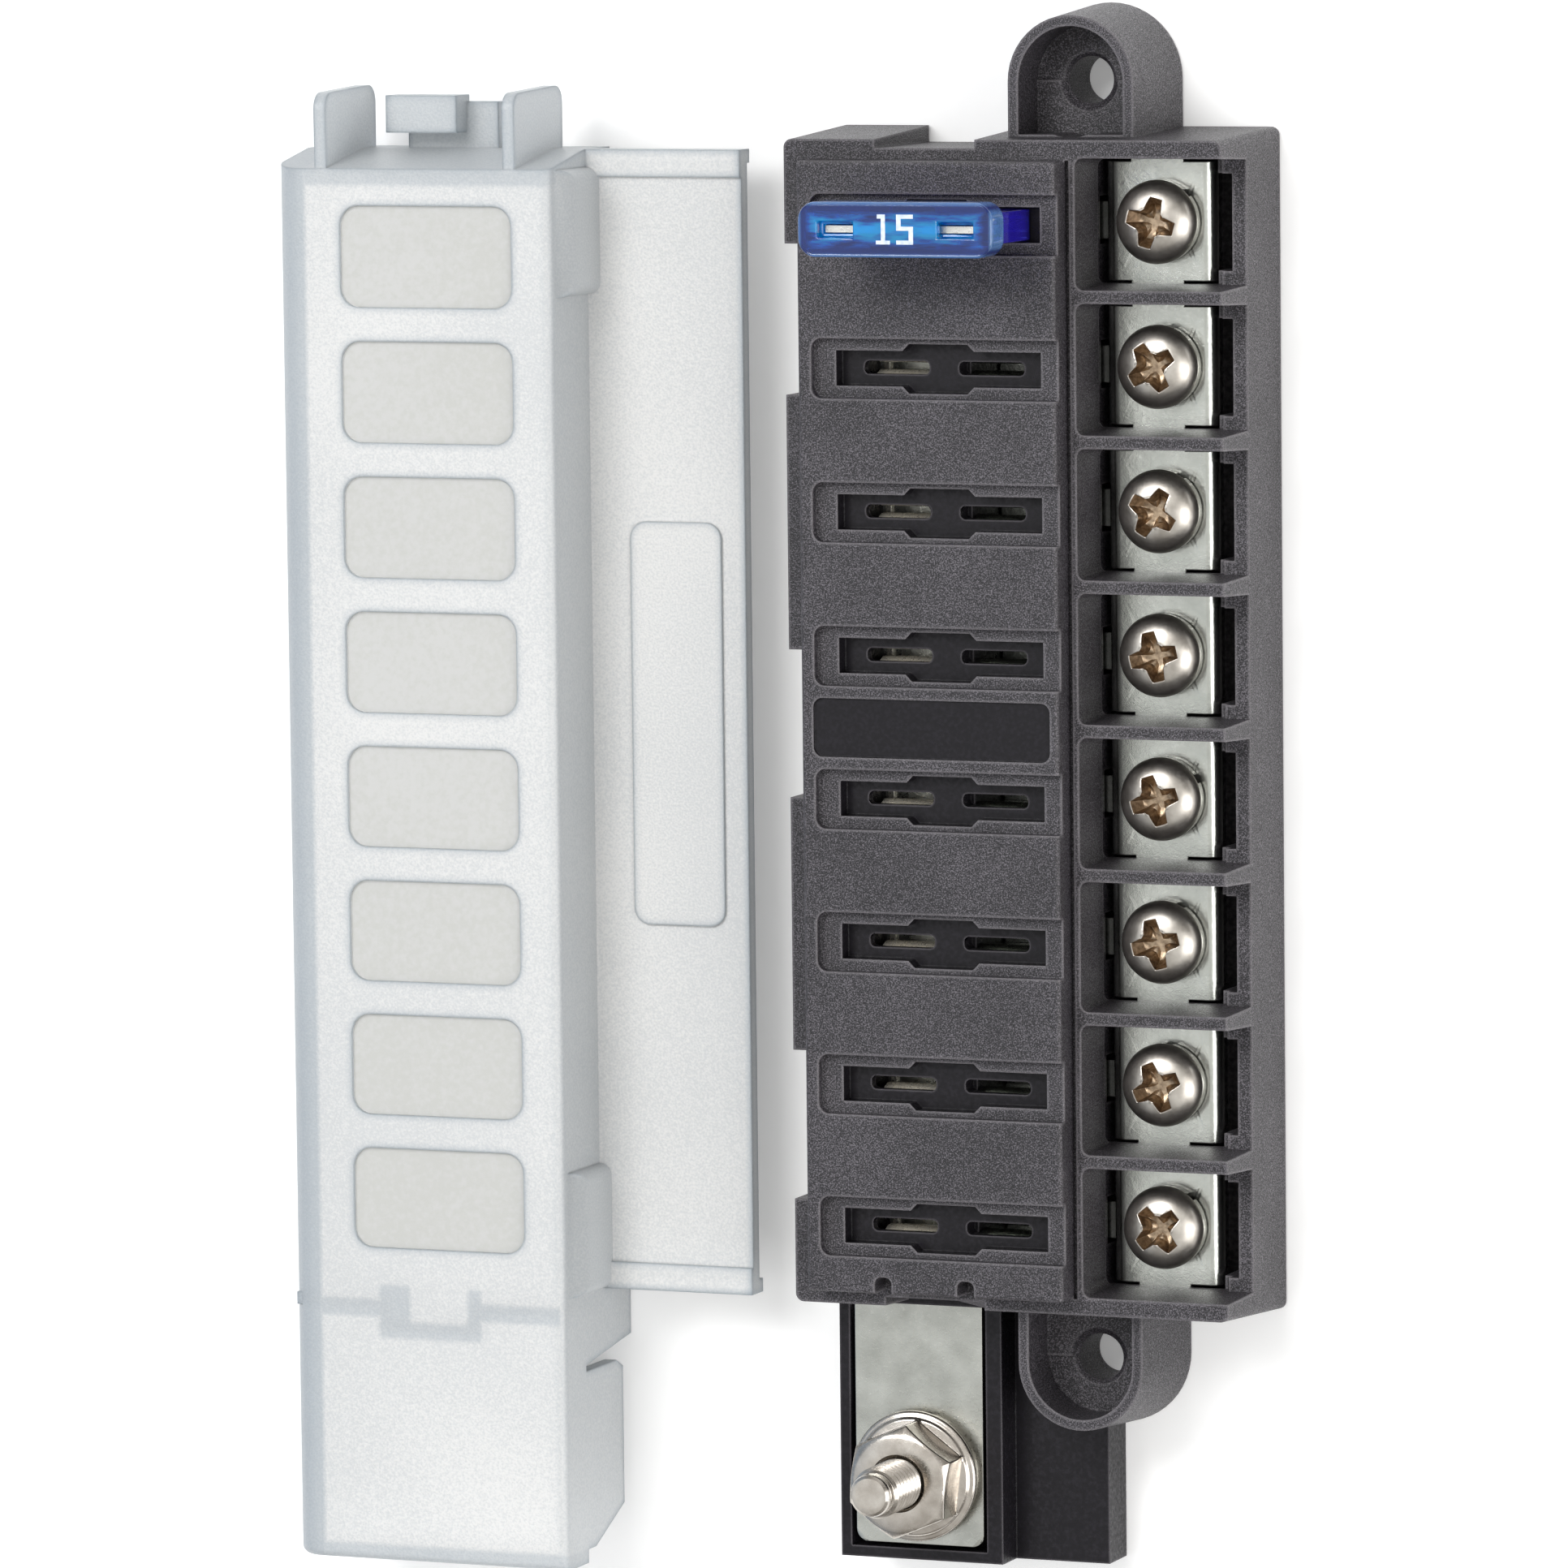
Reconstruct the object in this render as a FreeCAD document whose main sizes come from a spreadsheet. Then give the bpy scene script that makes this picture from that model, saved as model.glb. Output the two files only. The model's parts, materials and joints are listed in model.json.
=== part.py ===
import FreeCAD, Part
import math
import os

import Sketcher

# Blade fuse block with eight circuits and a lift-off cover, in millimetres. The back lies on the plane
# Z = 0, the front faces +Z, and the origin is midway between the two mounting holes on the back.
# The terminals are on the +X side, the power stud is at the -Y end, and the cover lies at -X.

DRIVING_SIZES = {
    # circuits: how many, and how far apart along Y
    "circuits": 8,
    "circuit_pitch": 13.4,
    "end_margin": 1.05,
    # housing, seen from the front
    "front_height": 14.2,
    "flange_left": -27.4,
    "side_left": -25.9,
    "side_right": 15.74,
    "draft_right": 0.76,
    "draft_end": 0.75,
    "corner_radius": 0.8,
    "flange_notch_end": 44.9,
    "flange_notch_width": 14.1,
    "flange_middle_notch": 13.9,
    "groove_left": -18.35,
    "groove_width": 9.95,
    "groove_depth": 0.8,
    # raised deck over the fuse sockets
    "deck_left": -25.1,
    "deck_right": 0.42,
    "deck_rise": 2.8,
    "deck_end_gap_top": 1.9,
    "deck_end_gap_low": 1.5,
    "deck_edge_radius": 0.35,
    "ridge_gap": 0.42,
    "ridge_gap_depth": 0.6,
    "ridge_width": 0.56,
    "deck_notch_width": 1.7,
    "deck_notch_depth": 1.6,
    "deck_notch_radius": 0.65,
    "panel_line": -12.15,
    "panel_width": 23.5,
    "panel_height": 5.5,
    "panel_depth": 0.3,
    "panel_radius": 0.9,
    # fuse sockets
    "fuse_line": -11.45,
    "blade_spacing": 9.4,
    "pocket_reach": 12.3,
    "pocket_height": 5.6,
    "pocket_depth": 0.9,
    "pocket_radius": 1.0,
    "recess_length": 20.3,
    "recess_height": 3.3,
    "recess_hub_length": 7.1,
    "recess_hub_height": 4.6,
    "recess_shoulder": 0.65,
    "recess_depth": 2.5,
    "slot_length": 6.5,
    "slot_height": 1.25,
    "socket_floor": 1.0,
    # terminal bays
    "screw_line": 7.4,
    "divider_front": 1.24,
    "divider_foot": 1.9,
    "side_wall_height": 8.1,
    "side_wall": 1.1,
    "post_depth": 2.1,
    "post_length": 1.25,
    "bay_corner_radius": 0.8,
    "bay_slit_height": 0.9,
    # mounting ears
    "ear_reach": 5.25,
    "ear_hole": 4.4,
    "ear_back_radius": 7.0,
    "ear_rim_radius": 6.15,
    "ear_rim": 1.0,
    "ear_height": 11.3,
    "ear_floor": 6.2,
    "ear_step": 0.3,
    "ear_hole_bevel": 0.35,
    # stud platform at the low end
    "platform_left": -25.4,
    "platform_right": -9.05,
    "platform_length": 25.15,
    "platform_rise": 0.2,
    "ledge_right": 0.35,
    "ledge_height": 4.6,
    # bus bar, power stud and nut
    "bus_left": -23.95,
    "bus_width": 12.9,
    "bus_thickness": 1.6,
    "blade_end_gap": 0.3,
    "bus_tail": 23.7,
    "bus_head_gap": 2.2,
    "bus_corner_radius": 1.2,
    "bus_clearance": 0.4,
    "stud_line": -17.5,
    "stud_reach": 16.95,
    "stud_diameter": 4.83,
    "stud_tip": 21.2,
    "stud_lead_diameter": 4.1,
    "stud_lead_length": 1.6,
    "stud_head_diameter": 8.6,
    "stud_head_height": 2.4,
    "stud_tip_radius": 0.35,
    "nut_across_flats": 9.53,
    "nut_height": 4.9,
    "nut_flange_diameter": 12.5,
    "nut_flange_height": 1.0,
    "nut_turn": -7.0,
    "nut_corner_diameter": 8.5,
    "nut_corner_height": 0.75,
    "nut_corner_land": 0.1,
    "stud_washer_diameter": 11.6,
    "stud_washer_bore": 5.2,
    "stud_washer_height": 1.0,
    "stud_washer_turn": 78.0,
    # contact clips
    "clip_length": 5.4,
    "clip_foot_length": 7.4,
    "clip_foot_width": 5.0,
    "clip_foot_thickness": 0.4,
    "clip_window_length": 6.2,
    "clip_metal": 0.4,
    "clip_spread": 0.95,
    "clip_mouth": 0.85,
    "clip_grip_height": 3.2,
    "clip_grip_length": 0.8,
    "clip_rise": 5.2,
    "grip_clearance": 0.02,
    # output terminals
    "terminal_top": 7.0,
    "terminal_metal": 0.8,
    "terminal_left": 1.6,
    "terminal_right": 12.4,
    "terminal_width": 11.1,
    "terminal_tab_width": 11.8,
    "terminal_tab_left": 4.3,
    "terminal_tab_length": 5.2,
    "terminal_lip": 1.7,
    "terminal_bend": 1.0,
    "terminal_jog_bend": 1.5,
    "terminal_side_fit": 0.1,
    "jaw_inset": 0.8,
    "strip_top": 5.4,
    "strip_width": 3.5,
    "collar_diameter": 5.8,
    "collar_height": 2.6,
    # terminal screws and lock washers
    "screw_diameter": 4.1,
    "screw_length": 6.35,
    "screw_head_diameter": 7.8,
    "screw_head_height": 2.5,
    "screw_head_round": 2.0,
    "screw_recess_length": 4.7,
    "screw_recess_width": 1.2,
    "screw_recess_depth": 1.7,
    "screw_recess_corner": 0.84,
    "screw_recess_foot": 2.1,
    "screw_tip_bevel": 0.4,
    "thread_clearance": 0.05,
    "washer_diameter": 7.6,
    "washer_bore": 4.4,
    "washer_height": 1.2,
    "washer_split": 0.9,
    # blade fuse
    "fuse_length": 19.1,
    "fuse_width": 5.1,
    "fuse_cap_height": 3.3,
    "fuse_height": 12.5,
    "fuse_end_radius": 1.7,
    "fuse_edge_radius": 0.35,
    "fuse_waist_length": 17.3,
    "fuse_waist_width": 2.9,
    "fuse_hub_length": 6.4,
    "fuse_hub_width": 4.0,
    "fuse_window_length": 3.5,
    "fuse_window_spacing": 11.8,
    "fuse_window_width": 1.5,
    "fuse_window_depth": 1.3,
    "blade_width": 5.2,
    "blade_thickness": 0.65,
    "blade_reach": 6.2,
    "blade_point": 0.8,
    "link_width": 1.0,
    "link_height": 3.4,
    "fuse_fit": 0.1,
    "link_gap": 0.75,
    # back plate
    "plate_thickness": 1.2,
    "plate_rim": 1.1,
    "plate_rim_right": 1.5,
    "plate_fit": 0.12,
    "post_length_x": 7.8,
    "post_width_y": 9.0,
    "post_lip_gap": 0.4,
    "post_bore_clearance": 0.35,
    "rib_thickness": 1.6,
    "rib_inset": 0.7,
    # cavities behind the deck
    "clip_room": 6.8,
    "clip_room_length": 8.1,
    "passage_fit": 0.5,
    # cover, in its place over the block
    "cover_wall": 1.2,
    "cover_rise": 14.6,
    "cover_left": -27.85,
    "cover_right": 0.85,
    "cover_head": 54.4,
    "cover_foot": 25.75,
    "cover_head_slope": 1.6,
    "cover_left_radius": 3.0,
    "cover_edge_radius": 0.8,
    "cover_skirt": 1.6,
    "cover_inner_fit": 0.2,
    "cover_step_gap": 0.45,
    "cover_lid_rise": 6.0,
    "cover_lid_wall": 1.3,
    "cover_lid_right": 16.6,
    "cover_lid_lip": 1.9,
    "cover_lid_band": 2.6,
    "cover_lid_step": 0.4,
    "cover_lid_end_gap": 0.3,
    "cover_lid_end_drop": 0.6,
    "cover_lid_foot_rise": 3.2,
    "cover_bulge": 1.25,
    "cover_bulge_length": 12.0,
    "cover_bulge_height": 5.5,
    "cover_bulge_drop": 1.1,
    "cover_bulge_radius": 1.12,
    "cover_bulge_head_gap": 1.7,
    "cover_gusset_reach": 6.0,
    "cover_gusset_left": -22.75,
    "cover_gusset_right": -3.35,
    "cover_gusset_drop": 0.3,
    "cover_gusset_lean": 0.5,
    "cover_gusset_radius": 1.6,
    "cover_latch_reach": 4.4,
    "cover_latch_rise": 3.2,
    "cover_latch_leg": 1.1,
    "cover_latch_leg_out": 0.55,
    "cover_latch_fit": 0.3,
    "cover_pad_length": 7.3,
    "cover_pad_height": 2.6,
    "cover_pad_width": 3.55,
    "cover_pad_out": 0.65,
    "cover_pad_side": 1.2,
    "cover_tongue": 2.1,
    "cover_tongue_fit": 0.8,
    "cover_partition_line": 1.4,
    "cover_partition_rise": 4.4,
    "cover_outlet_rise": 9.4,
    "cover_stud_wall_length": 5.5,
    "cover_flap_slit": 0.6,
    "cover_flap_rise": 0.5,
    "cover_flap_corner": 1.6,
    "label_pitch": 12.83,
    "label_length": 17.65,
    "label_height": 9.6,
    "label_depth": 0.35,
    "label_radius": 1.9,
    "label_line": -12.0,
    "label_middle": -0.4,
    "name_field_length": 38.4,
    "name_field_width": 9.3,
    "name_field_line": 9.6,
    "name_field_height": 0.3,
    "name_field_radius": 1.6,
    # where the lifted-off cover lies beside the block
    "cover_shift_x": -51.15,
    "cover_shift_y": -1.1,
}

SCREW_TURNS = [75.0, 32.0, 59.5, 13.0, 17.3, 13.5, 23.2, 40.0]
WASHER_TURNS = [40.0, 70.0, 55.0, 95.0, 25.0, 60.0, 80.0, 45.0]

doc = FreeCAD.newDocument("BladeFuseBlock")


class Size:
    """A length that carries the spreadsheet formula behind it."""

    def __init__(self, value, formula=None):
        self.value = float(value)
        self.formula = formula or f"({self.value!r})"

    def combine(self, sign, other, value):
        return Size(value, f"({self.formula} {sign} {as_size(other).formula})")

    def __add__(self, other):
        return self.combine("+", other, self.value + as_size(other).value)

    def __sub__(self, other):
        return self.combine("-", other, self.value - as_size(other).value)

    def __mul__(self, other):
        return self.combine("*", other, self.value * as_size(other).value)

    def __truediv__(self, other):
        return self.combine("/", other, self.value / as_size(other).value)

    def __neg__(self):
        return Size(-self.value, f"(0 - {self.formula})")

    def __radd__(self, other):
        return as_size(other) + self

    def __rsub__(self, other):
        return as_size(other) - self

    def __rmul__(self, other):
        return as_size(other) * self


def as_size(value):
    return value if isinstance(value, Size) else Size(value)


def make_sheet(sizes):
    """Write the driving sizes into a sheet and return them by name."""
    sheet = doc.addObject("Spreadsheet::Sheet", "Sizes")
    named = {}
    for row, (name, value) in enumerate(sizes.items(), start=1):
        sheet.set(f"A{row}", name)
        sheet.set(f"B{row}", repr(value))
        sheet.setAlias(f"B{row}", name)
        named[name] = Size(value, f"Sizes.{name}")
    doc.recompute()
    return named


SIZE = make_sheet(DRIVING_SIZES)


def size(name):
    return SIZE[name]


def bind(item, prop, value):
    """Tie a property of an object to the sheet."""
    item.setExpression(prop, as_size(value).formula)


def place(item, x=0.0, y=0.0, z=0.0, turn=0.0):
    """Put an object at a point, turned about Z by some degrees."""
    item.Placement = FreeCAD.Placement(FreeCAD.Vector(), FreeCAD.Rotation(FreeCAD.Vector(0, 0, 1), turn))
    for axis, value in zip("xyz", (x, y, z)):
        bind(item, f"Placement.Base.{axis}", value)


# Shapes made of primitives

def box(name, x, y, z):
    """A block between the low and high ends given along each axis."""
    item = doc.addObject("Part::Box", name)
    for prop, (low, high) in zip(("Length", "Width", "Height"), (x, y, z)):
        bind(item, prop, as_size(high) - low)
    place(item, x[0], y[0], z[0])
    return item


def disc(name, centre, radius, z):
    """An upright cylinder about a point."""
    item = doc.addObject("Part::Cylinder", name)
    bind(item, "Radius", radius)
    bind(item, "Height", as_size(z[1]) - z[0])
    place(item, centre[0], centre[1], z[0])
    return item


def frustum(name, centre, low_radius, high_radius, z):
    item = doc.addObject("Part::Cone", name)
    bind(item, "Radius1", low_radius)
    bind(item, "Radius2", high_radius)
    bind(item, "Height", as_size(z[1]) - z[0])
    place(item, centre[0], centre[1], z[0])
    return item


PLANE_TURNS = {
    "XY": FreeCAD.Rotation(),
    "XZ": FreeCAD.Rotation(FreeCAD.Vector(1, 0, 0), 90),
    "YZ": FreeCAD.Rotation(FreeCAD.Vector(1, 1, 1), 120),
}
PLANE_AXIS = {"XY": "z", "XZ": "y", "YZ": "x"}


def draw_polygon(sketch, points):
    """Draw a closed outline, each corner held by its two coordinates."""
    points = [(as_size(a), as_size(b)) for a, b in points]
    first = sketch.GeometryCount
    count = len(points)
    vectors = [FreeCAD.Vector(a.value, b.value, 0) for a, b in points]
    for index in range(count):
        sketch.addGeometry(Part.LineSegment(vectors[index], vectors[(index + 1) % count]))
    for index in range(count):
        following = first + (index + 1) % count
        sketch.addConstraint(Sketcher.Constraint("Coincident", first + index, 2, following, 1))
    for index, point in enumerate(points):
        for kind, value in zip(("DistanceX", "DistanceY"), point):
            held = Sketcher.Constraint(kind, -1, 1, first + index, 1, value.value)
            number = sketch.addConstraint(held)
            sketch.setExpression(f"Constraints[{number}]", value.formula)


def prism(name, plane, points, low, high):
    """Extrude an outline drawn on a plane from one level to another."""
    sketch = doc.addObject("Sketcher::SketchObject", f"{name}_outline")
    sketch.Placement = FreeCAD.Placement(FreeCAD.Vector(), PLANE_TURNS[plane])
    draw_polygon(sketch, points)
    bind(sketch, f"Placement.Base.{PLANE_AXIS[plane]}", high if plane == "XZ" else low)
    item = doc.addObject("Part::Extrusion", name)
    item.Base = sketch
    item.DirMode = "Normal"
    item.Solid = True
    bind(item, "LengthFwd", as_size(high) - low)
    return item


def about(middle, length):
    """The low and high ends of a length centred on a point."""
    half = as_size(length) / 2
    return as_size(middle) - half, as_size(middle) + half


def fuse(name, items):
    item = doc.addObject("Part::MultiFuse", name)
    item.Shapes = items
    item.Refine = True
    return item


def cut(name, base, tools):
    """Take the tools away from the base."""
    item = doc.addObject("Part::Cut", name)
    item.Base = base
    item.Tool = tools[0] if len(tools) == 1 else fuse(f"{name}_tools", tools)
    item.Refine = True
    return item


def common(name, first, second):
    item = doc.addObject("Part::MultiCommon", name)
    item.Shapes = [first, second]
    return item


def run_of(edge):
    """The low corner and the high corner of the box round an edge."""
    bounds = edge.BoundBox
    return (bounds.XMin, bounds.YMin, bounds.ZMin), (bounds.XMax, bounds.YMax, bounds.ZMax)


def chosen_edges(shape, test):
    """Numbers of the edges whose low and high corners pass the test."""
    return [n for n, edge in enumerate(shape.Edges, start=1) if test(*run_of(edge))]


def round_edges(name, base, radius, test):
    """Round the edges of an object that pass the test."""
    doc.recompute()
    item = doc.addObject("Part::Fillet", name)
    item.Base = base
    reach = as_size(radius).value
    item.Edges = [(number, reach, reach) for number in chosen_edges(base.Shape, test)]
    return item


def near(first, second):
    """Whether two places are the same, within a hundredth."""
    return abs(first - as_size(second).value) < 0.01


def runs_along(axis, low, high):
    """Whether an edge's box is longest along one axis, counted from 0 for X to 2 for Z."""
    lengths = [b - a for a, b in zip(low, high)]
    return lengths[axis] > sum(lengths) / 2


def upright(low, high):
    return runs_along(2, low, high)


# Shapes made as bodies of sketched features

def new_body(name):
    return doc.addObject("PartDesign::Body", name)


def sketch_in(body, name, role="XY_Plane"):
    """A sketch on one of the body's own origin planes."""
    sketch = body.newObject("Sketcher::SketchObject", name)
    plane = next(item for item in body.Origin.OriginFeatures if item.Role == role)
    sketch.AttachmentSupport = [(plane, "")]
    sketch.MapMode = "FlatFace"
    return sketch


def draw_circle(sketch, diameter):
    """A circle about the sketch's origin."""
    radius = as_size(diameter) / 2
    number = sketch.addGeometry(Part.Circle(FreeCAD.Vector(), FreeCAD.Vector(0, 0, 1), radius.value))
    sketch.addConstraint(Sketcher.Constraint("Coincident", number, 3, -1, 1))
    held = sketch.addConstraint(Sketcher.Constraint("Radius", number, radius.value))
    sketch.setExpression(f"Constraints[{held}]", radius.formula)


def pad(body, name, sketch, length, reverse=False):
    item = body.newObject("PartDesign::Pad", name)
    item.Profile = sketch
    item.Reversed = reverse
    bind(item, "Length", length)
    return item


def pocket(body, name, sketch, length, taper=0.0, reverse=True):
    """Cut a sketch into the solid above its plane, and check that it cuts."""
    doc.recompute()
    before = body.Shape.Volume
    item = body.newObject("PartDesign::Pocket", name)
    item.Profile = sketch
    item.Reversed = reverse
    item.TaperAngle = taper
    bind(item, "Length", length)
    doc.recompute()
    if item.Shape.Volume >= before:
        raise ValueError(f"{body.Label}: {name} cuts nothing")
    return item


def round_body(body, name, radius, test, kind="PartDesign::Fillet"):
    """Round or chamfer the edges of the body's last feature."""
    doc.recompute()
    base = body.Tip
    item = body.newObject(kind, name)
    item.Base = (base, [f"Edge{number}" for number in chosen_edges(base.Shape, test)])
    bind(item, "Radius" if kind.endswith("Fillet") else "Size", radius)
    return item


# Levels and lines that several pieces share

half_length = size("circuits") * size("circuit_pitch") / 2 + size("end_margin")
half_length_back = half_length + size("draft_end")
deck_top = size("front_height") + size("deck_rise")
deck_head = half_length - size("deck_end_gap_top")
deck_foot = -half_length + size("deck_end_gap_low")
ridge_left = size("deck_right") + size("ridge_gap")
ridge_right = ridge_left + size("ridge_width")
pocket_floor = deck_top - size("pocket_depth")
recess_floor = deck_top - size("recess_depth")
room_ceiling = recess_floor - size("socket_floor")
clip_line = size("fuse_line") - size("blade_spacing") / 2
outlet_line = size("fuse_line") + size("blade_spacing") / 2
bus_top = recess_floor - size("blade_reach") - size("blade_end_gap")
bus_bottom = bus_top - size("bus_thickness")
platform_top = bus_top + size("platform_rise")
bus_right = size("bus_left") + size("bus_width")
stud_line_y = -half_length - size("stud_reach")
platform_foot = -half_length - size("platform_length")
bus_foot = -half_length - size("bus_tail")
bus_head = half_length - size("end_margin") - size("bus_head_gap")
hole_y = half_length + size("ear_reach")
terminal_bottom = size("terminal_top") - size("terminal_metal")
strip_bottom = size("strip_top") - size("terminal_metal")
washer_base = size("terminal_top")
screw_seat = washer_base + size("washer_height")
nut_seat = bus_top + size("stud_washer_height")
plate_top = size("plate_thickness")
jaw_top = bus_top + size("clip_rise")
cover_foot = -half_length - size("cover_foot")
cover_back = size("front_height") - size("cover_skirt")
cover_front = size("front_height") + size("cover_rise")
lid_front = size("front_height") + size("cover_lid_rise")
lid_back = lid_front - size("cover_lid_wall")
lid_tail = size("cover_lid_end_gap") - half_length
latch_back = size("front_height") + size("cover_latch_rise")

# How far a cut runs past what it cuts: well clear, or just through one wall
SPARE = 1.0
SLIVER = 0.1


def circuit_line(number):
    """The Y line of a circuit, the first at the top."""
    return (size("circuits") - 1) * size("circuit_pitch") / 2 - number * size("circuit_pitch")


def circuit_numbers():
    return range(int(DRIVING_SIZES["circuits"]))


# Housing: one black moulding, open at the back

def housing_block():
    """The main block, with draft on its ends and on its right side."""
    front = size("front_height")
    right = size("side_right")
    side_view = [
        (-half_length_back, 0), (half_length_back, 0), (half_length, front), (-half_length, front),
    ]
    end_view = [
        (size("flange_left"), 0), (right + size("draft_right"), 0),
        (right, front), (size("flange_left"), front),
    ]
    across = prism("block_ends", "YZ", side_view, size("flange_left") - SPARE, right + 2 * SPARE)
    along = prism("block_sides", "XZ", end_view, -half_length_back - SPARE, half_length_back + SPARE)
    block = common("block", across, along)
    return round_edges("block_rounded", block, size("corner_radius"), upright)


def housing_deck():
    """The raised deck, with its upper edges softened."""
    deck = box("deck", (size("deck_left"), size("deck_right")), (deck_foot, deck_head),
               (size("front_height") - SPARE, deck_top))
    return round_edges("deck_rounded", deck, size("deck_edge_radius"),
                       lambda low, high: near(low[2], deck_top) or upright(low, high))


def housing_ear(name, side):
    """One drafted ear, as a round end and the straight part that joins the block."""
    rim, back = size("ear_rim_radius"), size("ear_back_radius")
    z = (0, size("ear_height"))
    centre_y = side * hole_y
    outline = [(-back, 0), (back, 0), (rim, z[1]), (-rim, z[1])]
    inner = side * (half_length - SPARE)
    ends = (inner, centre_y) if side > 0 else (centre_y, inner)
    return [
        frustum(f"{name}_end", (0, centre_y), back, rim, z),
        prism(f"{name}_neck", "XZ", outline, *ends),
    ]


def ear_hollow(name, side):
    """What is cut from an ear: the dish, its shallow step and the screw hole."""
    inside = size("ear_rim_radius") - size("ear_rim")
    centre_y = side * hole_y
    inner = side * (half_length_back - size("draft_end") / 2)
    ends = (inner, centre_y) if side > 0 else (centre_y, inner)
    floor = size("ear_floor")
    dish = (floor, size("ear_height") + SPARE)
    outer = side * (hole_y + inside)
    half = (centre_y, outer) if side > 0 else (outer, centre_y)
    hole, bevel = size("ear_hole") / 2, size("ear_hole_bevel")
    round_part = disc(f"{name}_round", (0, centre_y), inside, (floor - size("ear_step"), dish[1]))
    outer_half = box(f"{name}_outer_half", (-inside, inside), half, (0, dish[1]))
    return [
        disc(f"{name}_dish", (0, centre_y), inside, dish),
        common(f"{name}_step", round_part, outer_half),
        box(f"{name}_way", (-inside, inside), ends, dish),
        disc(f"{name}_hole", (0, centre_y), hole, (-SPARE, size("ear_height"))),
        frustum(f"{name}_bevel", (0, centre_y), hole, hole + 2 * bevel, (floor - 2 * bevel, floor)),
    ]


def housing_platform():
    """The stud platform and the lower ledge beside it."""
    inner = -half_length + SPARE
    platform = box("platform", (size("platform_left"), size("platform_right")),
                   (platform_foot, inner), (0, platform_top))
    ledge = box("ledge", (size("platform_right") - SPARE, size("ledge_right")),
                (platform_foot, inner), (0, size("ledge_height")))
    return [platform, ledge]


def side_notches():
    """Three gaps along the left flange, which leave four tabs."""
    x = (size("flange_left") - SPARE, size("side_left"))
    z = (-SPARE, size("front_height") + SPARE)
    outer, width = size("flange_notch_end"), size("flange_notch_width")
    return [
        box("flange_gap_high", x, (outer - width, outer), z),
        box("flange_gap_middle", x, about(0, size("flange_middle_notch")), z),
        box("flange_gap_low", x, (-outer, width - outer), z),
    ]


def latch_grooves():
    """A shallow groove in each end wall, over its whole height."""
    x = (size("groove_left"), size("groove_left") + size("groove_width"))
    top = size("front_height") + SPARE
    floor = half_length - size("groove_depth")
    far = half_length_back + SPARE
    return [
        box("groove_high", x, (floor, far), (-SPARE, top)),
        box("groove_low", x, (-far, -floor), (platform_top, top)),
    ]


def deck_details():
    """The gap beside the ridge, the two small notches and the bare name panel."""
    front = size("front_height")
    gap = box("ridge_groove", (size("deck_right"), ridge_left), (deck_foot, deck_head),
              (front - size("ridge_gap_depth"), deck_top + SPARE))
    tools = [gap]
    notch = size("deck_notch_width")
    high = deck_foot + size("deck_notch_depth")
    groove = (size("groove_left"), size("groove_left") + size("groove_width"))
    for index, line in enumerate((groove[0], groove[1] - notch)):
        block = box(f"deck_notch_block_{index + 1}", (line, line + notch), (deck_foot - SPARE, high),
                    (front, deck_top + SPARE))
        tools.append(round_edges(f"deck_notch_{index + 1}", block, size("deck_notch_radius"),
                                 lambda a, b: near(a[1], high) and upright(a, b)))
    panel = box("name_panel_block", about(size("panel_line"), size("panel_width")),
                about(0, size("panel_height")), (deck_top - size("panel_depth"), deck_top + SPARE))
    tools.append(round_edges("name_panel", panel, size("panel_radius"), upright))
    return tools


def socket_tools(number):
    """One fuse socket: the shallow pocket, the stepped recess and two blade slots."""
    y = circuit_line(number)
    line = size("fuse_line")
    block = box(f"pocket_block_{number}", (line - size("pocket_reach"), ridge_left),
                about(y, size("pocket_height")), (pocket_floor, deck_top + SPARE))
    left = line - size("pocket_reach")
    shallow = round_edges(f"pocket_{number}", block, size("pocket_radius"),
                          lambda low, high: near(high[0], left) and upright(low, high))
    half, hub = size("recess_length") / 2, size("recess_hub_length") / 2
    low, high = size("recess_height") / 2, size("recess_hub_height") / 2
    slope = size("recess_shoulder")
    upper = [(hub, low), (hub - slope, high), (slope - hub, high), (-hub, low)]
    outline = [(line - half, y + low), (line - half, y - low)]
    outline += [(line + a, y - b) for a, b in reversed(upper)]
    outline += [(line + half, y - low), (line + half, y + low)]
    outline += [(line + a, y + b) for a, b in upper]
    recess = prism(f"recess_{number}", "XY", outline, recess_floor, pocket_floor + SPARE)
    slots = [
        box(f"slot_{side}_{number}", about(x, size("slot_length")), about(y, size("slot_height")),
            (room_ceiling - SPARE, recess_floor + SPARE))
        for side, x in (("in", clip_line), ("out", outlet_line))
    ]
    return [shallow, recess] + slots


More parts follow.
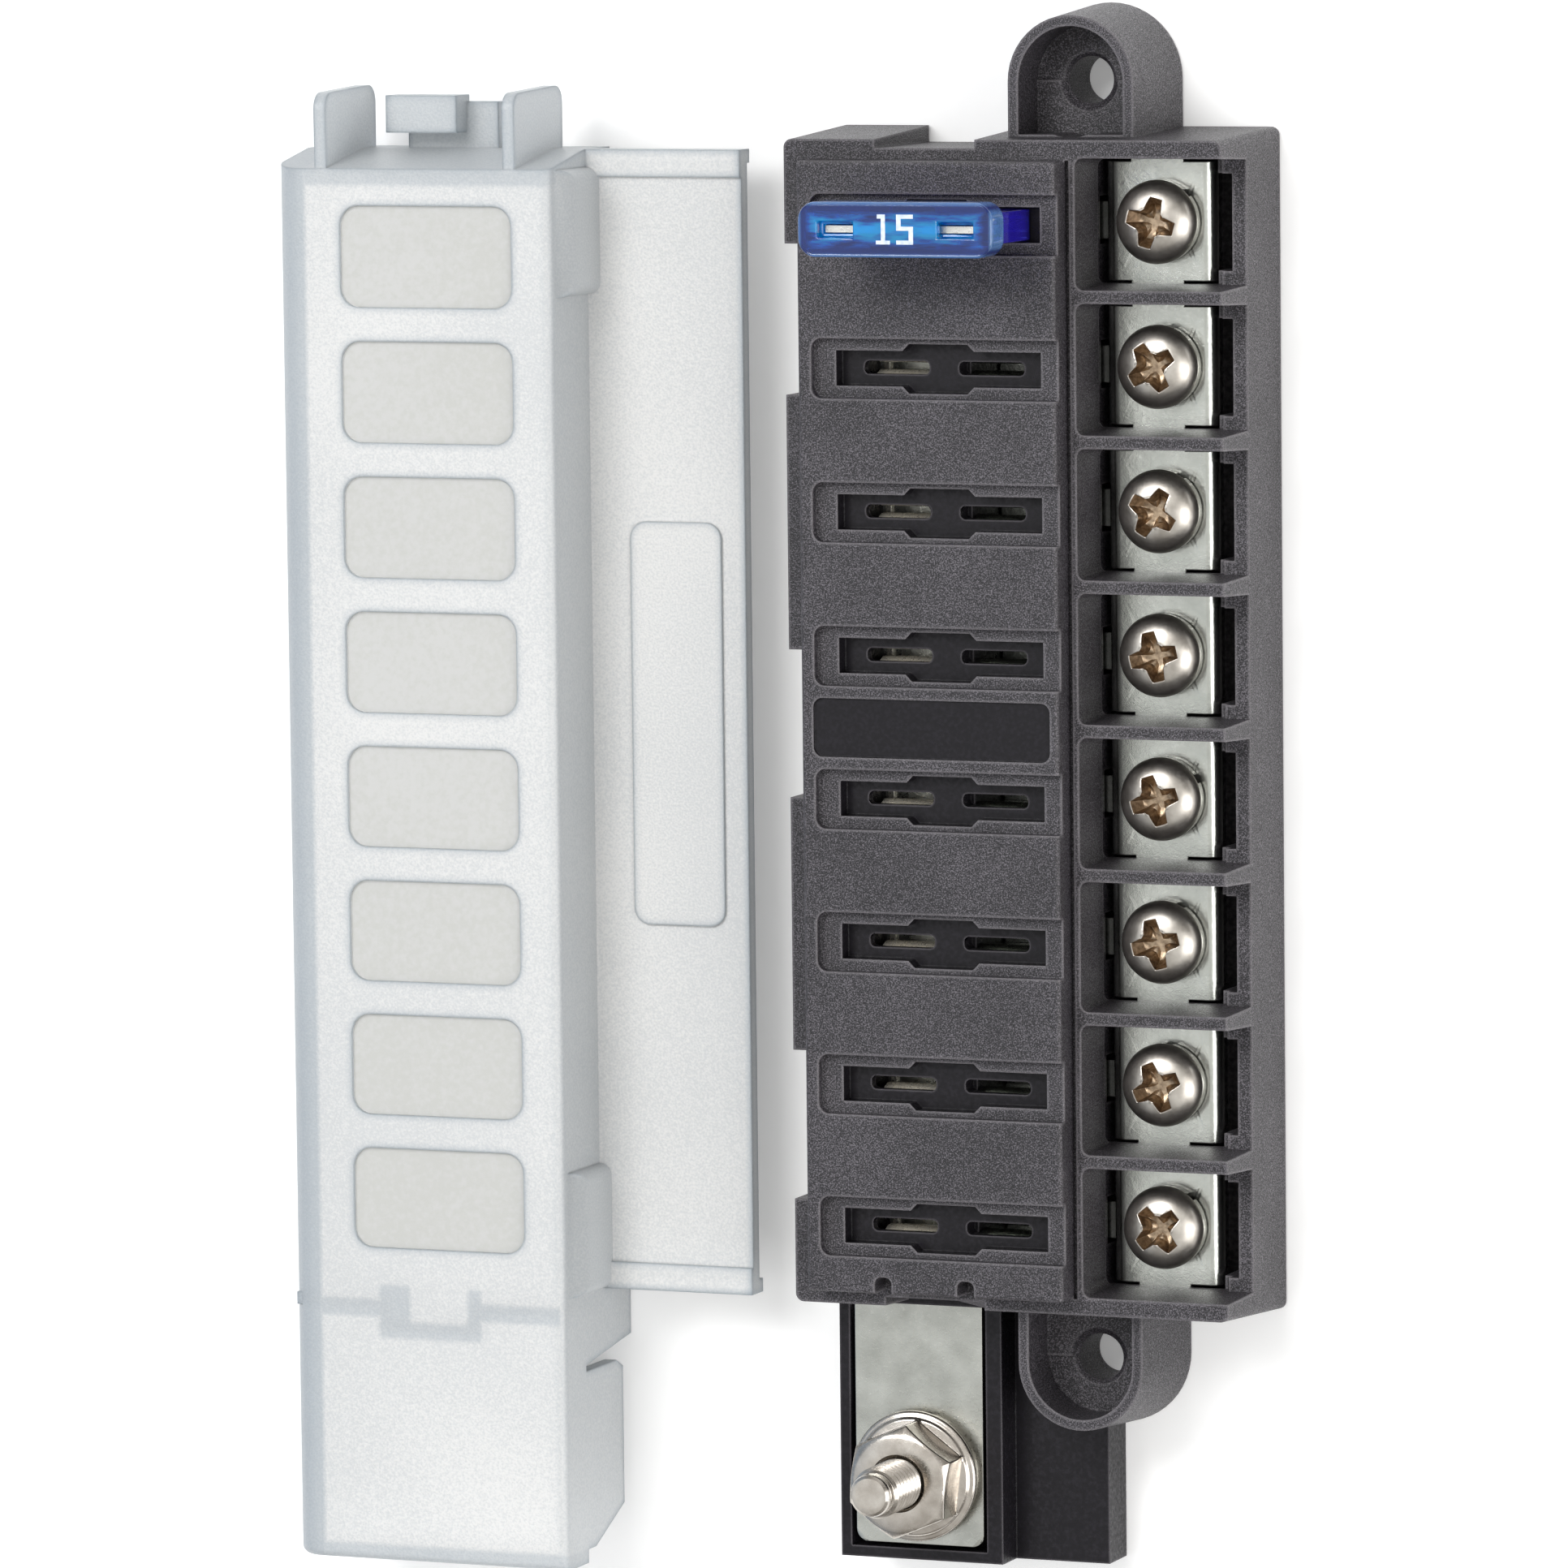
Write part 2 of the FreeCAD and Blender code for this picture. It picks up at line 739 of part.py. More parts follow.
def bay_tools(number):
    """One terminal bay, drafted, with the slot behind the terminal's lip."""
    y = circuit_line(number)
    half_pitch = size("circuit_pitch") / 2
    front, sill = size("front_height"), size("side_wall_height")
    foot = size("terminal_top")
    top_half = half_pitch - size("divider_front") / 2
    foot_half = half_pitch - size("divider_foot") / 2
    slope = (top_half - foot_half) / (front - foot)
    sill_half = foot_half + slope * (sill - foot)
    over_half = top_half + slope * SPARE
    right = size("side_right")
    post = right - size("post_depth")
    upper = prism(f"bay_front_{number}", "YZ", [
        (y - foot_half, foot), (y + foot_half, foot), (y + over_half, front + SPARE),
        (y - over_half, front + SPARE)], ridge_right, post)
    rounded = round_edges(f"bay_rounded_{number}", upper, size("bay_corner_radius"),
                          lambda low, high: near(high[0], ridge_right) and upright(low, high))
    outer = prism(f"bay_side_{number}", "YZ", [
        (y - sill_half, sill), (y + sill_half, sill), (y + over_half, front + SPARE),
        (y - over_half, front + SPARE)], post - SPARE, right + 2 * SPARE)
    slot_half = half_pitch - size("divider_foot") / 2 - size("post_length")
    slot = box(f"bay_slot_{number}", (post - SPARE, right - size("side_wall")),
               (y - slot_half, y + slot_half), (-SPARE, sill + SPARE))
    slit = box(f"bay_slit_{number}", (ridge_left, ridge_right + SPARE), (y - foot_half, y + foot_half),
               (size("strip_top"), foot + size("bay_slit_height")))
    return [rounded, outer, slot, slit]


def back_rooms(number):
    """The rooms behind one circuit: both clips, the strip's passage and the terminal."""
    y = circuit_line(number)
    fit = size("passage_fit")
    tab = size("terminal_tab_width") + 2 * size("terminal_side_fit")
    room = about(y, size("clip_room"))
    input_room = box(f"room_in_{number}", about(clip_line, size("clip_room_length")), room,
                     (bus_top - SPARE, room_ceiling))
    output_left = bus_right + size("bus_clearance") + size("side_wall")
    output_room = box(f"room_out_{number}", (output_left, outlet_line + size("clip_room_length") / 2),
                      room, (-SPARE, room_ceiling))
    strip = size("strip_width") + 2 * fit
    passage = box(f"passage_{number}", (output_left, size("terminal_left")), about(y, strip),
                  (-SPARE, size("strip_top") + fit))
    seat = box(f"seat_{number}", (ridge_left, size("terminal_right") + fit),
               about(y, tab), (-SPARE, size("terminal_top")))
    return [input_room, output_room, passage, seat]


def plate_outline(fit):
    """The outline of the back opening, drawn in by a fit all round."""
    rim = size("plate_rim")
    left = size("side_left") + rim + fit
    right = size("side_right") + size("draft_right") - size("plate_rim_right") - fit
    high = half_length_back - 2 * rim - fit
    tail_left = size("bus_left") - size("bus_clearance") + fit
    tail_right = bus_right + size("bus_clearance") - fit
    tail_foot = bus_foot - size("bus_clearance") + fit
    return [
        (left, high), (left, -high), (tail_left, -high), (tail_left, tail_foot),
        (tail_right, tail_foot), (tail_right, -high), (right, -high), (right, high),
    ]


def bus_channel():
    """The bus bar's channel from the back, open at the front on the platform."""
    gap = size("bus_clearance")
    x = (size("bus_left") - gap, bus_right + gap)
    inside = box("bus_channel", x, (bus_foot - gap, bus_head + gap), (-SPARE, bus_top))
    over = box("bus_window", x, (bus_foot - gap, -half_length_back), (bus_bottom, deck_top))
    return [inside, over]


def make_housing():
    """The moulding that holds everything."""
    solids = [housing_block(), housing_deck()] + housing_platform()
    solids += housing_ear("ear_high", 1) + housing_ear("ear_low", -1)
    tools = side_notches() + latch_grooves() + deck_details() + bus_channel()
    tools += ear_hollow("ear_high", 1) + ear_hollow("ear_low", -1)
    tools.append(prism("back_rebate", "XY", plate_outline(0), -SPARE, plate_top))
    for number in circuit_numbers():
        tools += socket_tools(number) + bay_tools(number) + back_rooms(number)
    return cut("housing", fuse("housing_solids", solids), tools)


# Back plate: closes the housing and carries the metal from behind

def make_back_plate():
    fit = size("plate_fit")
    items = [prism("plate_sheet", "XY", plate_outline(fit), 0, plate_top)]
    low = plate_top - SPARE / 2
    bores = []
    bore = size("collar_diameter") / 2 + size("post_bore_clearance")
    post_right = size("terminal_right") - size("terminal_metal") - size("post_lip_gap")
    for number in circuit_numbers():
        y = circuit_line(number)
        items.append(box(f"terminal_post_{number}", (post_right - size("post_length_x"), post_right),
                         about(y, size("post_width_y")), (low, terminal_bottom)))
        items.append(box(f"strip_rib_{number}", about(outlet_line, size("clip_length")),
                         about(y, size("rib_thickness")), (low, strip_bottom)))
        bores.append(disc(f"post_bore_{number}", (size("screw_line"), y), bore,
                          (plate_top, terminal_bottom + SPARE)))
    rib_x = (size("bus_left") + size("rib_inset"), bus_right - size("rib_inset"))
    for number in list(circuit_numbers())[1:]:
        y = circuit_line(number) + size("circuit_pitch") / 2
        items.append(box(f"bus_rib_{number}", rib_x, about(y, size("rib_thickness")), (low, bus_bottom)))
    tail_y = -half_length - size("stud_reach") / 2
    items.append(box("tail_rib", rib_x, about(tail_y, size("rib_thickness")), (low, bus_bottom)))
    items.append(disc("stud_post", (size("stud_line"), stud_line_y), size("stud_head_diameter") / 2,
                      (low, bus_bottom - size("stud_head_height"))))
    return cut("back_plate", fuse("plate_solids", items), bores)


# Bus bar: a flat tin-plated bar from the stud to the last input clip

def make_bus_bar():
    bar = box("bar", (size("bus_left"), bus_right), (bus_foot, bus_head), (bus_bottom, bus_top))
    rounded = round_edges("bar_rounded", bar, size("bus_corner_radius"),
                          lambda low, high: near(high[1], bus_foot) and upright(low, high))
    hole = disc("bar_hole", (size("stud_line"), stud_line_y),
                size("stud_diameter") / 2 + size("thread_clearance"),
                (bus_bottom - SPARE, bus_top + SPARE))
    return cut("bus_bar", rounded, [hole])


# Contact clips: sheet metal with two sprung jaws that meet the blade

def jaw_outline(y, side, root, foot):
    """The section of one jaw: up from its foot, in to the grip, out to the mouth."""
    metal = size("clip_metal")
    grip = size("blade_thickness") / 2 + size("grip_clearance")
    grip_low = bus_top + size("clip_grip_height")
    grip_high = grip_low + size("clip_grip_length")
    inner = [(root, foot), (grip, grip_low), (grip, grip_high), (size("clip_mouth"), jaw_top)]
    outer = [(a + metal, b) for a, b in reversed(inner)]
    return [(y + side * a, b) for a, b in inner + outer]


def make_input_clip(number):
    """A clip that stands on the bus bar round one blade."""
    y = circuit_line(number)
    name = f"input_clip_{number + 1}"
    top = bus_top + size("clip_foot_thickness")
    foot = box(f"{name}_foot", about(clip_line, size("clip_foot_length")),
               about(y, size("clip_foot_width")), (bus_top, top))
    window = box(f"{name}_window", about(clip_line, size("clip_window_length")),
                 about(y, 2 * size("clip_spread")), (bus_top - SPARE, top + SPARE))
    x = about(clip_line, size("clip_length"))
    jaws = [
        prism(f"{name}_jaw_{side + 2}", "YZ",
              jaw_outline(y, side, size("clip_spread"), bus_top), *x)
        for side in (-1, 1)
    ]
    return fuse(name, [cut(f"{name}_base", foot, [window])] + jaws)


def make_output_terminal(number):
    """One folded strip: terminal plate with a tapped collar, jog, and a blade clip."""
    y = circuit_line(number)
    name = f"output_terminal_{number + 1}"
    metal = size("terminal_metal")
    left, right = size("terminal_left"), size("terminal_right")
    strip_left = outlet_line - size("clip_length") / 2
    top = size("terminal_top")
    profile = [
        (strip_left, strip_bottom), (left + metal, strip_bottom), (left + metal, terminal_bottom),
        (right - metal, terminal_bottom), (right - metal, top - size("terminal_lip")),
        (right, top - size("terminal_lip")), (right, top), (left, top), (left, size("strip_top")),
        (strip_left, size("strip_top")),
    ]
    wide = size("terminal_tab_width") / 2
    folded = prism(f"{name}_fold", "XZ", profile, y - wide - SPARE, y + wide + SPARE)
    bent = round_edges(f"{name}_bend", folded, size("terminal_bend"),
                       lambda low, high: near(low[0], right) and near(low[2], top))
    jogged = round_edges(f"{name}_jog", bent, size("terminal_jog_bend"),
                         lambda low, high: near(high[0], left) and near(low[2], top))
    half, narrow = size("terminal_width") / 2, size("strip_width") / 2
    tab = (size("terminal_tab_left"), size("terminal_tab_left") + size("terminal_tab_length"))
    upper = [
        (strip_left, narrow), (left, narrow), (left, half), (tab[0], half), (tab[0], wide),
        (tab[1], wide), (tab[1], half), (right, half),
    ]
    outline = [(a, y + b) for a, b in upper] + [(a, y - b) for a, b in reversed(upper)]
    plan = prism(f"{name}_plan", "XY", outline, strip_bottom - SPARE, top + SPARE)
    sheet = common(f"{name}_sheet", jogged, plan)
    x = (strip_left, strip_left + size("clip_length"))
    root = size("strip_width") / 2 - size("jaw_inset")
    foot = strip_bottom + metal / 2
    jaws = [
        prism(f"{name}_jaw_{side + 2}", "YZ", jaw_outline(y, side, root, foot), *x)
        for side in (-1, 1)
    ]
    centre = (size("screw_line"), y)
    collar = disc(f"{name}_collar", centre, size("collar_diameter") / 2,
                  (terminal_bottom - size("collar_height"), terminal_bottom + metal / 2))
    bore = disc(f"{name}_bore", centre, size("screw_diameter") / 2 + size("thread_clearance"),
                (terminal_bottom - size("collar_height") - SPARE, top + SPARE))
    return cut(name, fuse(f"{name}_solid", [sheet, collar] + jaws), [bore])


# Screws, washers, stud and nut

def make_terminal_screw(number):
    """A pan head machine screw with a cross recess."""
    name = f"terminal_screw_{number + 1}"
    body = new_body(f"{name}_blank")
    head_sketch = sketch_in(body, f"{name}_head_sketch")
    draw_circle(head_sketch, size("screw_head_diameter"))
    top = size("screw_head_height")
    pad(body, f"{name}_head", head_sketch, top)
    round_body(body, f"{name}_dome", size("screw_head_round"), lambda low, high: near(low[2], top))
    shank_sketch = sketch_in(body, f"{name}_shank_sketch")
    draw_circle(shank_sketch, size("screw_diameter"))
    pad(body, f"{name}_shank", shank_sketch, size("screw_length"), reverse=True)
    tip = -size("screw_length")
    round_body(body, f"{name}_tip", size("screw_tip_bevel"), lambda low, high: near(high[2], tip),
               "PartDesign::Chamfer")
    low = top - size("screw_recess_depth")
    arm, half = size("screw_recess_length") / 2, size("screw_recess_width") / 2
    corner = size("screw_recess_corner")
    quarter = [(half, arm), (corner, corner), (arm, half)]
    points = list(quarter)
    for turn_x, turn_y, order in ((1, -1, -1), (-1, -1, 1), (-1, 1, -1)):
        points += [(turn_x * a, turn_y * b) for a, b in quarter[::order]]
    cross = prism(f"{name}_cross", "XY", points, low, top + SPARE)
    narrow = size("screw_recess_foot") / 2
    cone = frustum(f"{name}_cone", (0, 0), narrow, arm + (arm - narrow) * SPARE / (top - low),
                   (low, top + SPARE))
    point = frustum(f"{name}_point", (0, 0), 0, narrow, (low - narrow / 2, low))
    recess = fuse(f"{name}_recess", [common(f"{name}_wings", cross, cone), point])
    screw = cut(name, body, [recess])
    place(screw, size("screw_line"), circuit_line(number), screw_seat, SCREW_TURNS[number])
    return screw


def make_lock_washer(number):
    centre = (size("screw_line"), circuit_line(number))
    return make_split_washer(f"lock_washer_{number + 1}", size("washer_diameter"), size("washer_bore"),
                             size("washer_height"), centre, washer_base, WASHER_TURNS[number])


def make_stud_washer():
    centre = (size("stud_line"), stud_line_y)
    return make_split_washer("stud_washer", size("stud_washer_diameter"), size("stud_washer_bore"),
                             size("stud_washer_height"), centre, bus_top,
                             DRIVING_SIZES["stud_washer_turn"])


def make_power_stud():
    """The stud, its round head below the bus bar."""
    centre = (size("stud_line"), stud_line_y)
    lead_low = size("stud_tip") - size("stud_lead_length")
    radius, lead = size("stud_diameter") / 2, size("stud_lead_diameter") / 2
    head = disc("stud_head", centre, size("stud_head_diameter") / 2,
                (bus_bottom - size("stud_head_height"), bus_bottom))
    shaft = disc("stud_shaft", centre, radius, (bus_bottom - SPARE, lead_low))
    shoulder = frustum("stud_shoulder", centre, radius, lead, (lead_low, lead_low + radius - lead))
    point = disc("stud_point", centre, lead, (lead_low, size("stud_tip")))
    tip = size("stud_tip")
    rounded = round_edges("stud_point_rounded", point, size("stud_tip_radius"),
                          lambda low, high: near(low[2], tip))
    return fuse("power_stud", [head, shaft, shoulder, rounded])


def make_split_washer(name, diameter, bore, height, centre, base, turn):
    """A split spring washer, its gap cut at a slant."""
    body = new_body(name)
    ring = sketch_in(body, f"{name}_ring_sketch")
    draw_circle(ring, diameter)
    draw_circle(ring, bore)
    pad(body, f"{name}_ring", ring, height)
    gap = sketch_in(body, f"{name}_gap_sketch")
    half = size("washer_split") / 2
    inner, outer = bore / 2 - SPARE, diameter / 2 + SPARE
    draw_polygon(gap, [(inner, -half), (outer, 0), (outer, 2 * half), (inner, half)])
    pocket(body, f"{name}_gap", gap, height)
    place(body, *centre, base, turn)
    return body


def make_stud_nut():
    """A hexagon nut with a sloped flange."""
    height, flange = size("nut_height"), size("nut_flange_height")
    centre = (0, 0)
    flat = size("nut_across_flats") / 2
    reach = 2 * flat / math.sqrt(3)
    side = reach / 2
    corners = [(flat, side), (0, reach), (-flat, side), (-flat, -side), (0, -reach), (flat, -side)]
    hexagon = prism("nut_hexagon", "XY", corners, 0, height)
    narrow, bevel = size("nut_corner_diameter") / 2, size("nut_corner_height")
    envelope = fuse("nut_envelope", [
        disc("nut_round", centre, reach + SPARE, (0, height - bevel)),
        frustum("nut_bevel", centre, reach + size("nut_corner_land"), narrow, (height - bevel, height)),
    ])
    half = size("nut_flange_diameter") / 2
    rim = flange / 2
    solid = fuse("nut_solid", [
        common("nut_head", hexagon, envelope),
        disc("nut_rim", centre, half, (0, rim)),
        frustum("nut_slope", centre, half, half - rim, (rim, flange)),
    ])
    bore = disc("nut_bore", centre, size("stud_diameter") / 2 + size("thread_clearance"),
                (-SPARE, height + SPARE))
    nut = cut("stud_nut", solid, [bore])
    place(nut, size("stud_line"), stud_line_y, nut_seat, DRIVING_SIZES["nut_turn"])
    return nut


# Blade fuse in the first circuit

def make_fuse_body():
    """The clear moulding of the fuse, with a slot for its metal."""
    x, y = size("fuse_line"), circuit_line(0)
    top = recess_floor + size("fuse_height")
    cap_low = top - size("fuse_cap_height")
    cap = box("fuse_cap", about(x, size("fuse_length")), about(y, size("fuse_width")), (cap_low, top))
    ends = round_edges("fuse_cap_ends", cap, size("fuse_end_radius"), upright)
    soft = round_edges("fuse_cap_soft", ends, size("fuse_edge_radius"),
                       lambda low, high: near(low[2], top))
    waist = box("fuse_waist", about(x, size("fuse_waist_length")), about(y, size("fuse_waist_width")),
                (recess_floor, cap_low + SPARE))
    hub = box("fuse_hub", about(x, size("fuse_hub_length")), about(y, size("fuse_hub_width")),
              (recess_floor, cap_low + SPARE))
    fit = size("fuse_fit")
    metal = size("blade_spacing") + size("blade_width") + 2 * fit
    metal_top = top - size("fuse_window_depth")
    slot = box("fuse_slot", about(x, metal), about(y, size("blade_thickness") + 2 * fit),
               (recess_floor - SPARE, metal_top + fit))
    windows = [
        box(f"fuse_window_{side}", about(line, size("fuse_window_length")),
            about(y, size("fuse_window_width")), (metal_top, top + SPARE))
        for side, line in zip(("in", "out"), about(x, size("fuse_window_spacing")))
    ]
    return cut("fuse_body", fuse("fuse_solids", [soft, waist, hub]), [slot] + windows)


def make_fuse_element():
    """Two blades and the link between them, stamped in one piece."""
    y = circuit_line(0)
    top = recess_floor + size("fuse_height") - size("fuse_window_depth")
    low = recess_floor - size("blade_reach")
    half, point = size("blade_width") / 2, size("blade_point")
    link_top = recess_floor + size("fuse_height") / 2
    link_low = link_top - size("link_height")
    left, right = clip_line, outlet_line
    width, inner = size("link_width"), size("link_width") - size("link_gap")
    outline = [
        (left - half, top), (left - half, low + point), (left - half + point, low),
        (left + half - point, low), (left + half, low + point), (left + half, link_low),
        (left + half + width, link_low), (left + half + width, link_top - width),
        (right - half - width, link_top - width), (right - half - width, link_low),
        (right - half, link_low), (right - half, low + point), (right - half + point, low),
        (right + half - point, low), (right + half, low + point), (right + half, top),
        (right - half, top), (right - half, link_low + width),
        (right - half - inner, link_low + width), (right - half - inner, link_top),
        (left + half + inner, link_top), (left + half + inner, link_low + width),
        (left + half, link_low + width), (left + half, top),
    ]
    return prism("fuse_element", "XZ", outline, *about(y, size("blade_thickness")))


# Cover: one clear moulding, drawn here in its place over the block

def cover_shell():
    """The deep part over the fuses and the stud: an open tray with rounded front edges."""
    wall, foot, low, top = size("cover_wall"), cover_foot, cover_back, cover_front
    left, right, head = size("cover_left"), size("cover_right"), size("cover_head")
    slope = size("cover_head_slope")
    outline = [(foot, low), (head, low), (head, lid_front), (head - slope, top), (foot, top)]
    solid = prism("cover_solid", "YZ", outline, left, right)
    round_left = round_edges("cover_left_edge", solid, size("cover_left_radius"),
                             lambda a, b: near(b[0], left) and near(a[2], top))
    soft = round_edges("cover_front_edges", round_left, size("cover_edge_radius"),
                       lambda a, b: near(a[2], top) and (near(a[0], right) or near(b[1], foot)))
    inner = [(foot + wall, low - SPARE), (head - wall, low - SPARE), (head - wall, lid_front),
             (head - slope - wall, top - wall), (foot + wall, top - wall)]
    hollow = prism("cover_hollow_block", "YZ", inner, left + wall, right - wall)
    inner_top, inner_left = top - wall, left + wall
    rounded = round_edges("cover_hollow", hollow, size("cover_left_radius") - wall,
                          lambda a, b: near(b[0], inner_left) and near(a[2], inner_top))
    return cut("cover_shell", soft, [rounded])


def cover_partition():
    """The wall between the fuses and the stud, with its tongue at the latch groove."""
    wall = size("cover_wall")
    low_face = -half_length - size("cover_partition_line")
    y = (low_face, low_face + wall)
    left = size("groove_left") + size("cover_tongue_fit")
    right = size("groove_left") + size("groove_width") - size("cover_tongue_fit")
    tongue = size("cover_tongue")
    outline = [
        (size("cover_left") + wall / 2, y[1]), (size("cover_left") + wall / 2, y[0]),
        (left - wall, y[0]), (left - wall, y[0] - tongue), (right + wall, y[0] - tongue),
        (right + wall, y[0]), (size("cover_right") - wall / 2, y[0]),
        (size("cover_right") - wall / 2, y[1]), (right, y[1]), (right, y[1] - tongue),
        (left, y[1] - tongue), (left, y[1]),
    ]
    back = size("front_height") + size("cover_partition_rise")
    return prism("cover_partition", "XY", outline, back, cover_front - wall / 2)


def cover_lid():
    """The lower lid over the terminals, with end walls, end bands and a small lip."""
    wall, head, tail = size("cover_lid_wall"), size("cover_head"), lid_tail
    left, right = size("cover_right") - size("cover_wall") / 2, size("cover_lid_right")
    band, field = size("cover_lid_band"), lid_front - size("cover_lid_step")
    lip = lid_front - size("cover_lid_lip")
    head_back = lip - size("cover_lid_end_drop")
    tail_back = size("front_height") + size("cover_lid_foot_rise")
    return [
        box("lid_field", (left, right), (tail, head), (lid_back, field)),
        box("lid_lip", (right - wall, right), (tail, head), (lip, field)),
        box("lid_band_high", (left, right), (head - band, head), (lid_back, lid_front)),
        box("lid_band_low", (left, right), (tail, tail + band), (lid_back, lid_front)),
        box("lid_end_high", (left, right), (head - wall, head), (head_back, lid_front)),
        box("lid_end_low", (left, right), (tail, tail + wall), (tail_back, lid_front)),
    ]


def name_field():
    """The plain raised field on the lid."""
    low = lid_front - size("cover_lid_step")
    block = box("name_field_block", about(size("name_field_line"), size("name_field_width")),
                about(0, size("name_field_length")),
                (low - size("cover_lid_wall") / 2, low + size("name_field_height")))
    return round_edges("name_field", block, size("name_field_radius"), upright)


def cover_bulges():
    """The two swellings of the inner wall, near its ends, which slope out towards the lid."""
    right, out = size("cover_right"), size("cover_bulge")
    root = right - size("cover_wall") / 2
    knee = lid_front + size("cover_bulge_height")
    top = cover_front - size("cover_bulge_drop")
    outline = [(root, lid_back), (right + out, lid_back), (right + out, knee), (right, top), (root, top)]
    head = size("cover_head") - size("cover_bulge_head_gap")
    long = size("cover_bulge_length")
    bulges = []
    for name, y in (("high", (head - long, head)), ("low", (lid_tail, lid_tail + long))):
        block = prism(f"bulge_{name}_block", "XZ", outline, *y)
        bulges.append(round_edges(f"bulge_{name}", block, size("cover_bulge_radius"),
                                  lambda a, b: near(a[0], right + out) and upright(a, b)))
    return bulges


def cover_latch():
    """The finger latch at the head, between its two gussets."""
    wall = size("cover_wall")
    head = size("cover_head")
    fit = size("cover_latch_fit")
    left = size("groove_left") + fit
    right = size("groove_left") + size("groove_width") - fit
    low, reach = latch_back, head + size("cover_latch_reach")
    leg_out = head + size("cover_latch_leg_out")
    pad_left, pad_out = left - size("cover_pad_side"), reach + size("cover_pad_out")
    pieces = [
        box("latch_shelf", (left, right), (head - wall / 2, reach), (low, low + wall)),
        box("latch_leg", (left, right), (leg_out - size("cover_latch_leg"), leg_out),
            (cover_back, low + wall)),
        box("latch_pad", (pad_left, pad_left + size("cover_pad_length")),
            (pad_out - size("cover_pad_width"), pad_out),
            (low + wall / 2, low + wall + size("cover_pad_height"))),
    ]
    back, far = low - size("cover_gusset_drop"), head + size("cover_gusset_reach")
    outline = [
        (head - wall, back), (far, back), (far - size("cover_gusset_lean"), cover_front),
        (head - size("cover_head_slope") - wall / 2, cover_front - SLIVER),
    ]
    inner = (far - SPARE).value
    for name, x in (("left", size("cover_gusset_left")), ("right", size("cover_gusset_right"))):
        gusset = prism(f"gusset_{name}_block", "YZ", outline, *about(x, wall))
        pieces.append(round_edges(f"gusset_{name}", gusset, size("cover_gusset_radius"),
                                  lambda a, b: runs_along(0, a, b) and b[1] > inner))
    return pieces


def cover_openings():
    """What is cut away: the low edges, the way out for the cable and the flap's slits."""
    wall, foot, rail = size("cover_wall"), cover_foot, size("front_height")
    left, right = size("cover_left") - SPARE, size("cover_right") + SPARE
    out_top = rail + size("cover_outlet_rise")
    under = cover_back - SPARE
    block_end = deck_foot - size("cover_inner_fit") - wall
    stud_end = size("cover_step_gap") - half_length - size("cover_stud_wall_length")
    flap_low = rail + size("cover_flap_rise")
    slit = size("cover_flap_slit")
    corner = size("cover_flap_corner")
    flap_head = stud_end - corner - slit
    flap_foot = foot + wall + 2 * corner
    side = (size("cover_right") - wall - SLIVER, right)
    cable_way = prism("cover_cable_way", "YZ", [
        (foot - SPARE, under), (stud_end, under), (flap_head + slit, out_top), (flap_head, out_top),
        (flap_head, flap_low + corner), (flap_head - corner / 2, flap_low), (flap_foot, flap_low),
        (foot + wall, out_top - corner), (foot + wall, out_top), (foot - SPARE, out_top)], *side)
    head = size("cover_head")
    return [
        box("cover_rail_cut", (left, right), (block_end, head + SPARE), (under, rail)),
        box("cover_inner_side_cut", side, (block_end, head - wall), (under, lid_back)),
        cable_way,
        box("cover_foot_cut", (size("cover_left") + wall, right), (foot - SPARE, foot + wall + SLIVER),
            (under, out_top)),
    ]


def label_fields():
    """Eight shallow fields for circuit labels."""
    fields = []
    z = (cover_front - size("label_depth"), cover_front + SPARE)
    first = size("label_middle") + (size("circuits") - 1) * size("label_pitch") / 2
    for number in circuit_numbers():
        y = first - number * size("label_pitch")
        block = box(f"label_block_{number}", about(size("label_line"), size("label_length")),
                    about(y, size("label_height")), z)
        fields.append(round_edges(f"label_{number}", block, size("label_radius"), upright))
    return fields


def make_cover():
    """The whole cover, laid beside the block."""
    base = cut("cover_open", cover_shell(), cover_openings())
    solids = [base, cover_partition(), name_field()] + cover_lid() + cover_bulges() + cover_latch()
    whole = cut("cover", fuse("cover_solids", solids), label_fields())
    place(whole, size("cover_shift_x"), size("cover_shift_y"), -cover_back)
    return whole


def make_pieces():
    """Every separate piece, by the name of its node."""
    pieces = {
        "housing": make_housing(),
        "back_plate": make_back_plate(),
        "bus_bar": make_bus_bar(),
        "power_stud": make_power_stud(),
        "stud_washer": make_stud_washer(),
        "stud_nut": make_stud_nut(),
        "fuse_body": make_fuse_body(),
        "fuse_element": make_fuse_element(),
        "cover": make_cover(),
    }
    for number in circuit_numbers():
        pieces[f"input_clip_{number + 1}"] = make_input_clip(number)
        pieces[f"output_terminal_{number + 1}"] = make_output_terminal(number)
        pieces[f"lock_washer_{number + 1}"] = make_lock_washer(number)
        pieces[f"terminal_screw_{number + 1}"] = make_terminal_screw(number)
    return pieces


def check(pieces):
    """Stop on any object that failed, and on any piece that isn't one sound solid."""
    doc.recompute()
    for item in doc.Objects:
        if {"Invalid", "Error"} & set(item.State):
            raise ValueError(f"{item.Label} failed: {item.State}")
    for name, item in pieces.items():
        shape = item.Shape
        if shape.isNull() or not shape.isValid() or len(shape.Solids) != 1:
            raise ValueError(f"{name} has {len(shape.Solids)} solids, valid {shape.isValid()}")


def write(pieces):
    os.makedirs("parts", exist_ok=True)
    for name, item in pieces.items():
        item.Label = name
        item.Shape.exportStep(f"parts/{name}.step")


made = make_pieces()
check(made)
write(made)
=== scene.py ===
import json
import logging
import math
from dataclasses import dataclass
from enum import Enum
from typing import Any, Callable, Iterable

